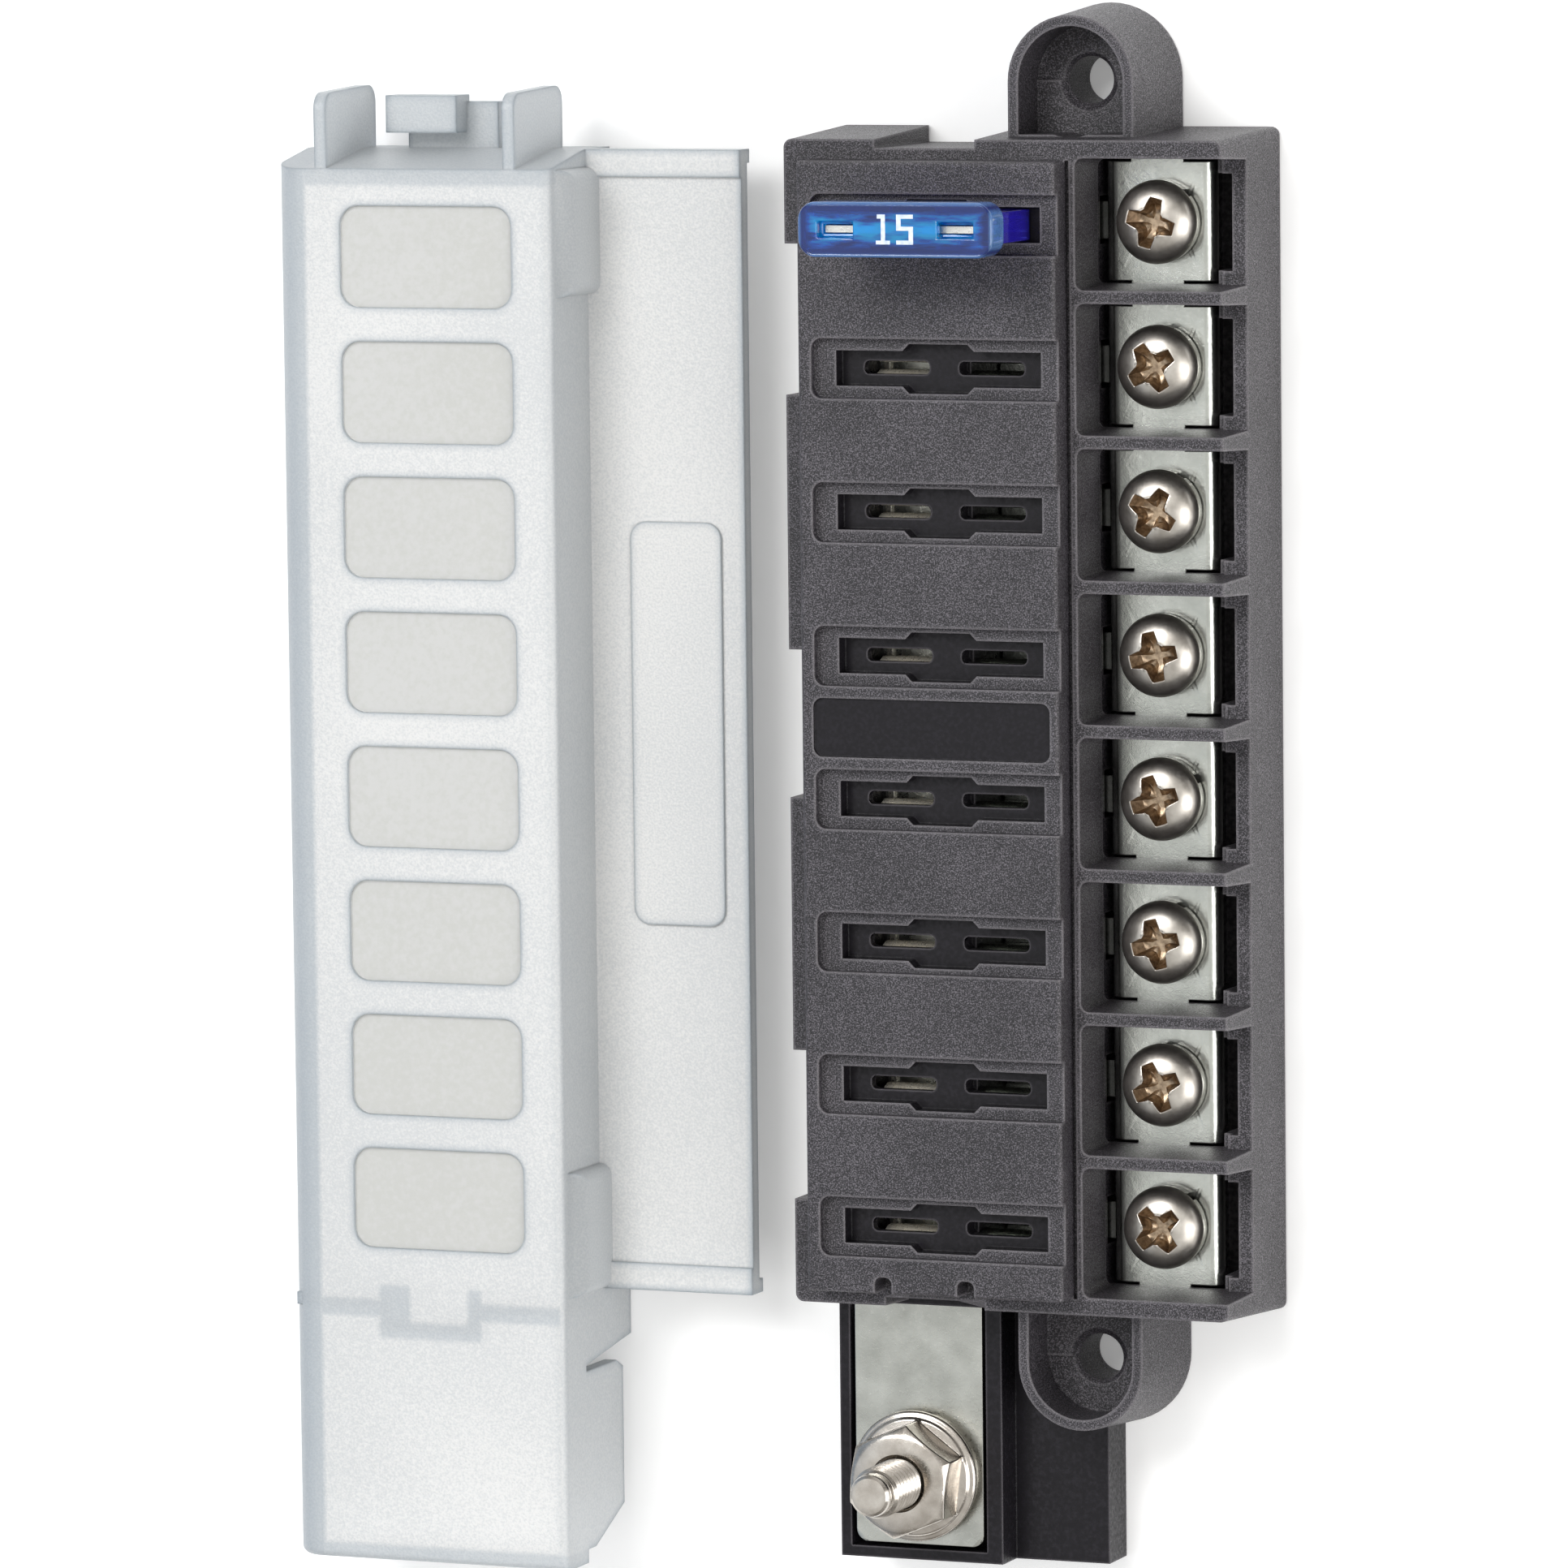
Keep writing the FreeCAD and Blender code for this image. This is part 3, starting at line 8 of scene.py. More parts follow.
import bpy
from mathutils import Matrix, Vector

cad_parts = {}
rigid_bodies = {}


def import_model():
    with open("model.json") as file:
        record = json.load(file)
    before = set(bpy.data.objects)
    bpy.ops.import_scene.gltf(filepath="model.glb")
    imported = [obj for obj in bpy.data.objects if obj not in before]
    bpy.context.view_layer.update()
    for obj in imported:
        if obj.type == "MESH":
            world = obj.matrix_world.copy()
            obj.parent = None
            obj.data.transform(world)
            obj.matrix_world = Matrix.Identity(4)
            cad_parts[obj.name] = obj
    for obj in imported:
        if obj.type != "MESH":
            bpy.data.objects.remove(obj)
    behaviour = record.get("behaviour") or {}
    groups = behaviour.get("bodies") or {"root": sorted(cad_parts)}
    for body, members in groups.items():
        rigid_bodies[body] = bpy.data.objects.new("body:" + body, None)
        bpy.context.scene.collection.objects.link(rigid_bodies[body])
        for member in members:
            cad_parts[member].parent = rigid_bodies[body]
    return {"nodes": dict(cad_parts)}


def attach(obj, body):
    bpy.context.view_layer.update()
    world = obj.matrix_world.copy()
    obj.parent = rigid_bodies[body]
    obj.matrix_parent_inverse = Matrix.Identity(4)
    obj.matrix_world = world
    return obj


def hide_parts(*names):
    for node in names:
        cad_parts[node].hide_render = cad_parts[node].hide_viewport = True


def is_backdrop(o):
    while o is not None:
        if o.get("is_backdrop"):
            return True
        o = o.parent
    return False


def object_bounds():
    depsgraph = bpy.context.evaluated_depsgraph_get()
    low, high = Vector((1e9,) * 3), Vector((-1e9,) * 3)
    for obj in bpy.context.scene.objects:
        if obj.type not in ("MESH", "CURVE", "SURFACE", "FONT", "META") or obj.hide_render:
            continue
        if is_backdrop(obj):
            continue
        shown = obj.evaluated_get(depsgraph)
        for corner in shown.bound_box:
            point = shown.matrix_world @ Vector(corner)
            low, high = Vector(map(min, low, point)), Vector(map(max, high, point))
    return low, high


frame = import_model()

# Dress of a blade fuse block with its clear cover beside it. The solids come from the frame, in metres:
# +X is the terminal side, +Y runs up the row of fuses, +Z leaves the front. Sizes below are in millimetres
# and go through mm().

log = logging.getLogger("fuse_block")


def mm(*values: float) -> Any:
    """Turn millimetres into metres.

    Args:
        values: one length, or several.

    Returns:
        The length in metres, or a vector of them.
    """
    lengths = [value / 1000 for value in values]
    return lengths[0] if len(lengths) == 1 else Vector(lengths)


def linear(colour: str) -> tuple[float, float, float, float]:
    """Turn an sRGB hex colour into the linear colour that a socket takes.

    Args:
        colour: six hex digits after a hash.

    Returns:
        Red, green, blue and a full alpha.
    """
    parts = [int(colour[i:i + 2], 16) / 255 for i in (1, 3, 5)]
    shades = [p / 12.92 if p <= 0.04045 else ((p + 0.055) / 1.055) ** 2.4 for p in parts]
    return (*shades, 1.0)


def per_mm(size: float) -> float:
    """Texture scale at which one cell of a pattern is this many millimetres wide."""
    return 1000 / size


# Finishes

class Recipe:
    """The nodes of a material or of the room's light, with the one function that adds a node to them."""

    def __init__(self, owner: bpy.types.Material | bpy.types.World) -> None:
        """Start with no node.

        Args:
            owner: the material, or the room's world.
        """
        owner.use_nodes = True
        self.owner = owner
        self.tree = owner.node_tree
        self.tree.nodes.clear()

    def add(self, kind: str, inputs: dict[Any, Any] | None = None, stops: Iterable[tuple[float, str]] = (),
            **settings: Any) -> bpy.types.Node:
        """Add a node, with its settings and links.

        Args:
            kind: the node's type, without ShaderNode in front.
            inputs: input name or number to a value, or to the output socket that feeds it.
            stops: places and hex colours, for a colour ramp.
            settings: attributes of the node.

        Returns:
            The new node.
        """
        node = self.tree.nodes.new("ShaderNode" + kind)
        for key, value in settings.items():
            setattr(node, key, value)
        for key, value in (inputs or {}).items():
            if isinstance(value, bpy.types.NodeSocket):
                self.tree.links.new(value, node.inputs[key])
            else:
                node.inputs[key].default_value = value
        for index, (place, colour) in enumerate(stops):
            element = node.color_ramp.elements[index] if index < 2 else node.color_ramp.elements.new(place)
            element.position = place
            element.color = linear(colour)
        return node


@dataclass(frozen=True)
class MouldedPlastic:
    """Glass-filled nylon from a spark-eroded mould.

    The skin is opaque and warm black with a fine even grain. The pale points of the grain are partly its own
    tone and partly painted glints of the highlight, and a painted highlight makes its convex edges paler
    still.
    """

    name: str = "glass_filled_nylon_spark_eroded"
    pit: str = "#161417"
    skin: str = "#2a282c"
    # The palest grain colour is partly the grain's tone and partly painted glint; the edge colour is a
    # painted highlight.
    spark: str = "#68646a"
    edge_highlight: str = "#8b878b"
    grain: float = 0.13
    depth: float = 0.07
    roughness: float = 0.4
    gloss: float = 0.4
    edge_radius: float = 0.3

    def build(self) -> bpy.types.Material:
        """Make the material.

        Returns:
            The new material.
        """
        recipe = Recipe(bpy.data.materials.new(self.name))
        place = recipe.add("TexCoord").outputs["Object"]
        # The real grain is about 0.1 mm, and is drawn coarser to show.
        fine = recipe.add("TexNoise", {"Vector": place, "Scale": per_mm(self.grain), "Detail": 3.0,
                                       "Roughness": 0.6})
        broad = recipe.add("TexNoise", {"Vector": place, "Scale": per_mm(7.0), "Detail": 3.0})
        both = recipe.add("MapRange", {"Value": broad.outputs["Fac"], "From Min": 0.3, "From Max": 0.7,
                                       "To Min": -0.02, "To Max": 0.02})
        level = recipe.add("Math", {0: fine.outputs["Fac"], 1: both.outputs["Result"]}, operation="ADD")
        colour = recipe.add("ValToRGB", {"Fac": level.outputs[0]},
                            stops=((0.38, self.pit), (0.5, self.skin), (0.64, self.spark)))
        rough = recipe.add("MapRange", {"Value": fine.outputs["Fac"], "From Min": 0.35, "From Max": 0.65,
                                        "To Min": self.roughness + 0.12, "To Max": self.roughness - 0.12})
        edge = recipe.add("Bevel", {"Radius": mm(self.edge_radius)}, samples=4)
        bump = recipe.add("Bump", {"Height": fine.outputs["Fac"], "Distance": mm(self.depth),
                                   "Strength": 0.9, "Normal": edge.outputs["Normal"]})
        # Painted highlight: convex edges, where rays into the solid soon leave it, are mixed towards the
        # pale edge colour.
        rim = recipe.add("AmbientOcclusion", {"Distance": mm(self.edge_radius)}, samples=2, inside=True,
                         only_local=True)
        edge_highlight_mask = recipe.add("MapRange", {"Value": rim.outputs["AO"], "From Min": 0.5, "From Max": 0.95,
                                       "To Min": 0.55, "To Max": 0.0})
        skin = recipe.add("MixRGB", {"Fac": edge_highlight_mask.outputs["Result"], "Color1": colour.outputs["Color"],
                                     "Color2": linear(self.edge_highlight)})
        shader = recipe.add("BsdfPrincipled", {
            "Base Color": skin.outputs["Color"], "Roughness": rough.outputs["Result"],
            "Normal": bump.outputs["Normal"], "IOR": 1.53, "Specular IOR Level": self.gloss})
        recipe.add("OutputMaterial", {"Surface": shader.outputs["BSDF"]})
        return recipe.owner


@dataclass(frozen=True)
class PlatedSheet:
    """Tin-plated sheet, rolled and stamped.

    Rolling leaves a satin face with hardly any direction, and handling leaves small bright nicks in it.
    """

    name: str = "tin_plated_copper_rolled"
    low: str = "#a2a39d"
    high: str = "#bfc0ba"
    nick: float = 0.55
    roughness: float = 0.3
    metallic: float = 1.0

    def build(self) -> bpy.types.Material:
        """Make the material.

        Returns:
            The new material.
        """
        recipe = Recipe(bpy.data.materials.new(self.name))
        place = recipe.add("TexCoord").outputs["Object"]
        satin = recipe.add("TexNoise", {"Vector": place, "Scale": per_mm(0.25), "Detail": 2.0})
        cloud = recipe.add("TexNoise", {"Vector": place, "Scale": per_mm(4.0), "Detail": 4.0})
        nicks = recipe.add("TexNoise", {"Vector": place, "Scale": per_mm(self.nick), "Detail": 4.0,
                                        "Roughness": 0.7, "Distortion": 1.2})
        colour = recipe.add("ValToRGB", {"Fac": cloud.outputs["Fac"]},
                            stops=((0.3, self.low), (0.7, self.high)))
        rough = recipe.add("MapRange", {"Value": nicks.outputs["Fac"], "From Min": 0.55, "From Max": 0.68,
                                        "To Min": self.roughness, "To Max": self.roughness - 0.14})
        bump = recipe.add("Bump", {"Height": satin.outputs["Fac"], "Distance": mm(0.01), "Strength": 0.35})
        dent = recipe.add("Bump", {"Height": nicks.outputs["Fac"], "Distance": mm(0.05), "Strength": 0.4,
                                   "Normal": bump.outputs["Normal"]})
        shader = recipe.add("BsdfPrincipled", {
            "Base Color": colour.outputs["Color"], "Metallic": self.metallic,
            "Roughness": rough.outputs["Result"], "Normal": dent.outputs["Normal"]})
        recipe.add("OutputMaterial", {"Surface": shader.outputs["BSDF"]})
        return recipe.owner


@dataclass(frozen=True)
class HeadedSteel:
    """Stainless steel, cold-headed and barrel-polished.

    Polishing leaves a soft mirror with a warm tone and shallow dents, so the room shows in it blurred.
    """

    name: str = "stainless_steel_barrel_polished"
    low: str = "#b3aca3"
    high: str = "#c9c3bb"
    dent: float = 1.3
    roughness: float = 0.2

    def build(self) -> bpy.types.Material:
        """Make the material.

        Returns:
            The new material.
        """
        recipe = Recipe(bpy.data.materials.new(self.name))
        place = recipe.add("TexCoord").outputs["Object"]
        dents = recipe.add("TexNoise", {"Vector": place, "Scale": per_mm(self.dent), "Detail": 2.0})
        dust = recipe.add("TexNoise", {"Vector": place, "Scale": per_mm(0.15), "Detail": 3.0})
        tone = recipe.add("ValToRGB", {"Fac": dents.outputs["Fac"]},
                          stops=((0.3, self.low), (0.7, self.high)))
        rough = recipe.add("MapRange", {"Value": dust.outputs["Fac"], "From Min": 0.3, "From Max": 0.7,
                                        "To Min": self.roughness - 0.05, "To Max": self.roughness + 0.08})
        bump = recipe.add("Bump", {"Height": dents.outputs["Fac"], "Distance": mm(0.02), "Strength": 0.25})
        shader = recipe.add("BsdfPrincipled", {
            "Base Color": tone.outputs["Color"], "Metallic": 1.0, "Roughness": rough.outputs["Result"],
            "Normal": bump.outputs["Normal"]})
        recipe.add("OutputMaterial", {"Surface": shader.outputs["BSDF"]})
        return recipe.owner


@dataclass(frozen=True)
class FrostedClear:
    """Polypropylene, injection-moulded in its natural colour.

    It is milky and lets light through, with a fine grain. Where light would cross more plastic, as in the
    walls, the rims, the thick borders and the wall inside, painted shade makes it greyer and bluer than on
    the faces.
    """

    name: str = "polypropylene_moulded_natural"
    low: str = "#e0e2e3"
    high: str = "#f3f3f2"
    # The grey-blue colour of the painted shade.
    edge: str = "#9dabb6"
    grain: float = 0.22
    depth: float = 0.07
    roughness: float = 0.38
    edge_radius: float = 0.4
    # How strong the painted shade is on faces that stand on edge, on rims and on the wall inside.
    upright_shade: float = 0.3
    rim: float = 0.85
    wall_shade: float = 0.36
    # Each thick border's axis, line, fade and strength of painted shade.
    borders: tuple[tuple[str, float, float, float], ...] = (
        ("X", -75.3, -0.5, 0.5), ("Y", 49.9, 0.5, 0.38), ("Y", -79.7, -0.5, 0.42))
    tray_end: float = -50.2
    # Middle and half sizes of the wall inside, of its bend, and of the gap in it.
    wall_band: tuple[float, float, float, float] = (-64.7, -57.05, 14.0, 0.85)
    wall_bend: tuple[float, float, float, float] = (-64.2, -57.35, 5.3, 2.55)
    wall_gap: tuple[float, float, float, float] = (-63.3, -55.0, 3.0, 3.3)
    wall_blur: float = 0.25

    def upright(self, recipe: Recipe) -> bpy.types.NodeSocket:
        """Add the mask of painted shade on the faces that stand on edge.

        Args:
            recipe: the material's nodes.

        Returns:
            The mask's socket.
        """
        way = recipe.add("SeparateXYZ", {"Vector": recipe.add("NewGeometry").outputs["Normal"]})
        steep = recipe.add("Math", {0: way.outputs["Z"]}, operation="ABSOLUTE")
        mask = recipe.add("MapRange", {"Value": steep.outputs[0], "From Min": 0.25, "From Max": 0.95,
                                       "To Min": self.upright_shade, "To Max": 0.0})
        return mask.outputs["Result"]

    def rims(self, recipe: Recipe) -> bpy.types.NodeSocket:
        """Add the mask of painted shade on the rims of all faces.

        Args:
            recipe: the material's nodes.

        Returns:
            The mask's socket.
        """
        near = recipe.add("AmbientOcclusion", {"Distance": mm(2 * self.edge_radius)}, samples=3,
                          inside=True, only_local=True)
        mask = recipe.add("MapRange", {"Value": near.outputs["AO"], "From Min": 0.45, "From Max": 0.97,
                                       "To Min": self.rim, "To Max": 0.0})
        return mask.outputs["Result"]

    def thick_borders(self, recipe: Recipe, spot: bpy.types.Node) -> list[bpy.types.NodeSocket]:
        """Add the masks of painted shade on the rounded left side, head and foot, which are thicker than the
        front.

        Args:
            recipe: the material's nodes.
            spot: the node that splits the place into X, Y and Z.

        Returns:
            One socket for each border, none of which reaches the tray on the right.
        """
        tray = recipe.add("MapRange", {"Value": spot.outputs["X"], "From Min": mm(self.tray_end),
                                       "From Max": mm(self.tray_end + 0.2), "To Min": 1.0, "To Max": 0.0})
        masks = []
        for axis, line, fade, strength in self.borders:
            border = recipe.add("MapRange", {
                "Value": spot.outputs[axis], "From Min": mm(line), "From Max": mm(line + fade),
                "To Min": 0.0, "To Max": strength})
            masks.append(recipe.add("Math", {0: border.outputs["Result"], 1: tray.outputs["Result"]},
                                    operation="MULTIPLY").outputs[0])
        return masks

    def box(self, recipe: Recipe, spot: bpy.types.Node,
            place: tuple[float, float, float, float]) -> bpy.types.NodeSocket:
        """Add the mask of an upright box with blurred sides.

        Args:
            recipe: the material's nodes.
            spot: the node that splits the place into X, Y and Z.
            place: the box's middle and its half sizes, in millimetres.

        Returns:
            The mask's socket.
        """
        inside = []
        for axis, middle, half in zip(("X", "Y"), place[:2], place[2:]):
            off = recipe.add("Math", {0: spot.outputs[axis], 1: mm(middle)}, operation="SUBTRACT")
            side = recipe.add("MapRange", {"Value": off.outputs[0], "From Min": mm(-half),
                                           "From Max": mm(half), "To Min": -1.0, "To Max": 1.0}, clamp=False)
            reach = recipe.add("Math", {0: side.outputs["Result"]}, operation="ABSOLUTE")
            blur = self.wall_blur / half
            inside.append(recipe.add("MapRange", {
                "Value": reach.outputs[0], "From Min": 1.0 - blur, "From Max": 1.0 + blur, "To Min": 1.0,
                "To Max": 0.0}).outputs["Result"])
        return recipe.add("Math", {0: inside[0], 1: inside[1]}, operation="MULTIPLY").outputs[0]

    def inner_wall(self, recipe: Recipe, spot: bpy.types.Node) -> bpy.types.NodeSocket:
        """Add the mask of painted shade where the wall inside shows through the front, with its bend round
        the latch.

        Args:
            recipe: the material's nodes.
            spot: the node that splits the place into X, Y and Z.

        Returns:
            The socket of a band, joined by the frame of the bend and open where the bend is.
        """
        band, bend, gap = (self.box(recipe, spot, place)
                           for place in (self.wall_band, self.wall_bend, self.wall_gap))
        joined = recipe.add("Math", {0: band, 1: bend}, operation="MAXIMUM").outputs[0]
        wall = recipe.add("Math", {0: joined, 1: gap}, operation="SUBTRACT", use_clamp=True).outputs[0]
        return recipe.add("Math", {0: wall, 1: self.wall_shade}, operation="MULTIPLY").outputs[0]

    def build(self) -> bpy.types.Material:
        """Make the material.

        Returns:
            The new material.
        """
        recipe = Recipe(bpy.data.materials.new(self.name))
        place = recipe.add("TexCoord").outputs["Object"]
        # The real grain is about 0.1 mm, and is drawn coarser to show.
        fine = recipe.add("TexNoise", {"Vector": place, "Scale": per_mm(self.grain), "Detail": 3.0})
        cloud = recipe.add("TexNoise", {"Vector": place, "Scale": per_mm(25.0), "Detail": 1.0})
        drift = recipe.add("MapRange", {"Value": cloud.outputs["Fac"], "From Min": 0.3, "From Max": 0.7,
                                        "To Min": -0.09, "To Max": 0.09})
        level = recipe.add("Math", {0: fine.outputs["Fac"], 1: drift.outputs["Result"]}, operation="ADD")
        face = recipe.add("ValToRGB", {"Fac": level.outputs[0]},
                          stops=((0.35, self.low), (0.65, self.high)))
        spot = recipe.add("SeparateXYZ", {"Vector": place})
        # Painted shade: upright faces, rims, thick borders and the wall inside are mixed towards the
        # grey-blue.
        deep = self.upright(recipe)
        for mask in (self.rims(recipe), *self.thick_borders(recipe, spot), self.inner_wall(recipe, spot)):
            deep = recipe.add("Math", {0: deep, 1: mask}, operation="MAXIMUM").outputs[0]
        colour = recipe.add("MixRGB", {"Fac": deep, "Color1": face.outputs["Color"],
                                       "Color2": linear(self.edge)})
        soft = recipe.add("Bevel", {"Radius": mm(self.edge_radius)}, samples=4)
        bump = recipe.add("Bump", {"Height": fine.outputs["Fac"], "Distance": mm(self.depth),
                                   "Strength": 0.6, "Normal": soft.outputs["Normal"]})
        shader = recipe.add("BsdfPrincipled", {
            "Base Color": colour.outputs["Color"], "Roughness": self.roughness, "IOR": 1.49,
            "Transmission Weight": 0.35, "Normal": bump.outputs["Normal"]})
        recipe.add("OutputMaterial", {"Surface": shader.outputs["BSDF"]})
        return recipe.owner


@dataclass(frozen=True)
class ClearBlue:
    """Polycarbonate, dyed blue and injection-moulded.

    It is glossy and clear, and the light seen through it is painted into its colour: a painted highlight
    makes the rim pale, painted shade makes the thick wall behind the rim deep blue, a painted glow runs
    along the middle, where the metal throws light back, and painted shade turns the deep foot of the body
    violet.
    """

    name: str = "polycarbonate_dyed_blue"
    middle: tuple[float, float] = (-11.45, 46.9)
    half: tuple[float, float] = (9.55, 2.55)
    foot_levels: tuple[float, float] = (22.6, 24.2)
    # Colours of painted light: the foot and the wall are painted shade, the rim a painted highlight and the
    # glow along the middle painted light; the inside is the body's own blue.
    foot: str = "#3a2ed0"
    rim: str = "#6c9fe0"
    wall: str = "#0d3586"
    inside: str = "#1464d0"
    painted_glow: str = "#0cb4ff"
    roughness: float = 0.06

    def build(self) -> bpy.types.Material:
        """Make the material.

        Returns:
            The new material.
        """
        recipe = Recipe(bpy.data.materials.new(self.name))
        place = recipe.add("TexCoord").outputs["Object"]
        centred = recipe.add("Mapping", {"Vector": place,
                                         "Location": mm(-self.middle[0], -self.middle[1], 0)})
        parts = recipe.add("SeparateXYZ", {"Vector": centred.outputs["Vector"]})
        # How far a point is inward of the body's sides, as a number below nought.
        sides = []
        for axis, half in zip(("X", "Y"), self.half):
            off = recipe.add("Math", {0: parts.outputs[axis]}, operation="ABSOLUTE")
            sides.append(recipe.add("Math", {0: off.outputs[0], 1: mm(half)}, operation="SUBTRACT"))
        inward = recipe.add("Math", {0: sides[0].outputs[0], 1: sides[1].outputs[0]}, operation="MAXIMUM")
        # The flow of the plastic wavers along the body, but leaves its rim straight.
        streaks = recipe.add("Mapping", {"Vector": place, "Scale": (0.2, 1.0, 1.0)})
        flow = recipe.add("TexNoise", {"Vector": streaks.outputs["Vector"], "Scale": per_mm(0.6),
                                       "Detail": 3.0})
        spread = recipe.add("MapRange", {"Value": flow.outputs["Fac"], "From Min": 0.3, "From Max": 0.7,
                                         "To Min": mm(-0.75), "To Max": mm(0.75)})
        still = recipe.add("MapRange", {"Value": inward.outputs[0], "From Min": mm(-1.3),
                                        "From Max": mm(-0.5), "To Min": 1.0, "To Max": 0.0})
        drift = recipe.add("Math", {0: spread.outputs["Result"], 1: still.outputs["Result"]},
                           operation="MULTIPLY")
        edge = recipe.add("Math", {0: inward.outputs[0], 1: drift.outputs[0]}, operation="ADD")
        depth = recipe.add("MapRange", {"Value": edge.outputs[0], "From Min": mm(-2.5), "From Max": 0.0,
                                        "To Min": 0.0, "To Max": 1.0})
        # The ramp paints light from the rim inward: a painted highlight on the rim, painted shade on the
        # thick wall and a painted glow along the middle.
        cap = recipe.add("ValToRGB", {"Fac": depth.outputs["Result"]},
                         stops=((0.12, self.painted_glow), (0.45, self.inside), (0.68, self.wall),
                                (0.83, self.wall), (0.94, self.rim)))
        # Painted shade turns the deep foot violet.
        low, high = self.foot_levels
        height = recipe.add("MapRange", {"Value": parts.outputs["Z"], "From Min": mm(low),
                                         "From Max": mm(high), "To Min": 0.0, "To Max": 1.0})
        colour = recipe.add("MixRGB", {"Fac": height.outputs["Result"], "Color1": linear(self.foot),
                                       "Color2": cap.outputs["Color"]})
        bump = recipe.add("Bump", {"Height": flow.outputs["Fac"], "Distance": mm(0.05), "Strength": 0.25})
        shader = recipe.add("BsdfPrincipled", {
            "Base Color": colour.outputs["Color"], "Roughness": self.roughness, "IOR": 1.58,
            "Transmission Weight": 0.6, "Normal": bump.outputs["Normal"]})
        recipe.add("OutputMaterial", {"Surface": shader.outputs["BSDF"]})
        return recipe.owner


@dataclass(frozen=True)
class PrintedInk:
    """White pad-printing ink: a thin matt layer, a little uneven."""

    name: str = "white_pad_print_ink"
    low: str = "#bccade"
    high: str = "#dde5f0"

    def build(self) -> bpy.types.Material:
        """Make the material.

        Returns:
            The new material.
        """
        recipe = Recipe(bpy.data.materials.new(self.name))
        place = recipe.add("TexCoord").outputs["Object"]
        patch = recipe.add("TexNoise", {"Vector": place, "Scale": per_mm(0.5), "Detail": 3.0})
        colour = recipe.add("ValToRGB", {"Fac": patch.outputs["Fac"]},
                            stops=((0.3, self.low), (0.6, self.high)))
        bump = recipe.add("Bump", {"Height": patch.outputs["Fac"], "Distance": mm(0.01), "Strength": 0.3})
        shader = recipe.add("BsdfPrincipled", {"Base Color": colour.outputs["Color"], "Roughness": 0.55,
                                               "Normal": bump.outputs["Normal"]})
        recipe.add("OutputMaterial", {"Surface": shader.outputs["BSDF"]})
        return recipe.owner


def dress(item: bpy.types.Object, *materials: bpy.types.Material) -> None:
    """Give an object these materials, in its slots from the first; a slot beyond the last gets the last.

    Args:
        item: the object.
        materials: the materials, in the order of the slots.
    """
    while len(item.material_slots) < len(materials):
        item.data.materials.append(materials[0])
    for index, slot in enumerate(item.material_slots):
        slot.material = materials[min(index, len(materials) - 1)]


# Modelling

# Corners that are nearer to each other than this are one, in millimetres.
MERGE_DISTANCE = 0.002

# How deep a thread of 60 degrees is cut, as a part of its pitch.
THREAD_DEPTH = 0.5413


class Part(Enum):
    """What is selected on a mesh."""

    CORNERS = "VERT"
    EDGES = "EDGE"
    FACES = "FACE"


def alone(item: bpy.types.Object) -> bpy.types.Object:
    """Select only this object and make it the active one.

    Args:
        item: the object.

    Returns:
        The same object.
    """
    bpy.ops.object.select_all(action="DESELECT")
    item.select_set(True)
    bpy.context.view_layer.objects.active = item
    return item


def edit_all(item: bpy.types.Object, operator: Callable[..., Any], **settings: Any) -> None:
    """Run one operator on the whole mesh of an object.

    Args:
        item: the object.
        operator: the operator, which needs edit mode.
        settings: the operator's own.
    """
    alone(item)
    bpy.ops.object.mode_set(mode="EDIT")
    bpy.ops.mesh.select_all(action="SELECT")
    operator(**settings)
    bpy.ops.object.mode_set(mode="OBJECT")


def edit_some(item: bpy.types.Object, part: Part, test: Callable[[list[Vector]], bool],
              operator: Callable[..., Any], **settings: Any) -> None:
    """Run one operator on some parts of a mesh.

    Args:
        item: the object.
        part: what is selected.
        test: takes the places of a part's corners, in millimetres, and says whether it is chosen.
        operator: the operator, which needs edit mode.
        settings: the operator's own.
    """
    alone(item)
    bpy.ops.object.mode_set(mode="EDIT")
    bpy.ops.mesh.select_mode(type=part.value)
    bpy.ops.mesh.select_all(action="DESELECT")
    bpy.ops.object.mode_set(mode="OBJECT")
    corners = item.data.vertices
    if part is Part.CORNERS:
        for corner in corners:
            corner.select = test([corner.co * 1000])
    else:
        for piece in item.data.edges if part is Part.EDGES else item.data.polygons:
            piece.select = test([corners[index].co * 1000 for index in piece.vertices])
    bpy.ops.object.mode_set(mode="EDIT")
    operator(**settings)
    bpy.ops.object.mode_set(mode="OBJECT")


def dress_faces(item: bpy.types.Object, skin: bpy.types.Material, special: bpy.types.Material,
                test: Callable[[list[Vector]], bool]) -> None:
    """Give an object one material, and another one on some of its faces.

    Args:
        item: the object.
        skin: the material of most faces.
        special: the material of the chosen faces.
        test: takes the places of a face's corners, in millimetres, and says whether it is chosen.
    """
    dress(item, skin, special)
    item.active_material_index = 1
    edit_some(item, Part.FACES, test, bpy.ops.object.material_slot_assign)


def finish_mesh(item: bpy.types.Object) -> bpy.types.Object:
    """Merge doubles and turn the faces outwards.

    Args:
        item: the object.

    Returns:
        The same object.
    """
    alone(item)
    bpy.ops.object.mode_set(mode="EDIT")
    bpy.ops.mesh.select_all(action="SELECT")
    bpy.ops.mesh.remove_doubles(threshold=mm(MERGE_DISTANCE))
    bpy.ops.mesh.normals_make_consistent(inside=False)
    bpy.ops.object.mode_set(mode="OBJECT")
    return item


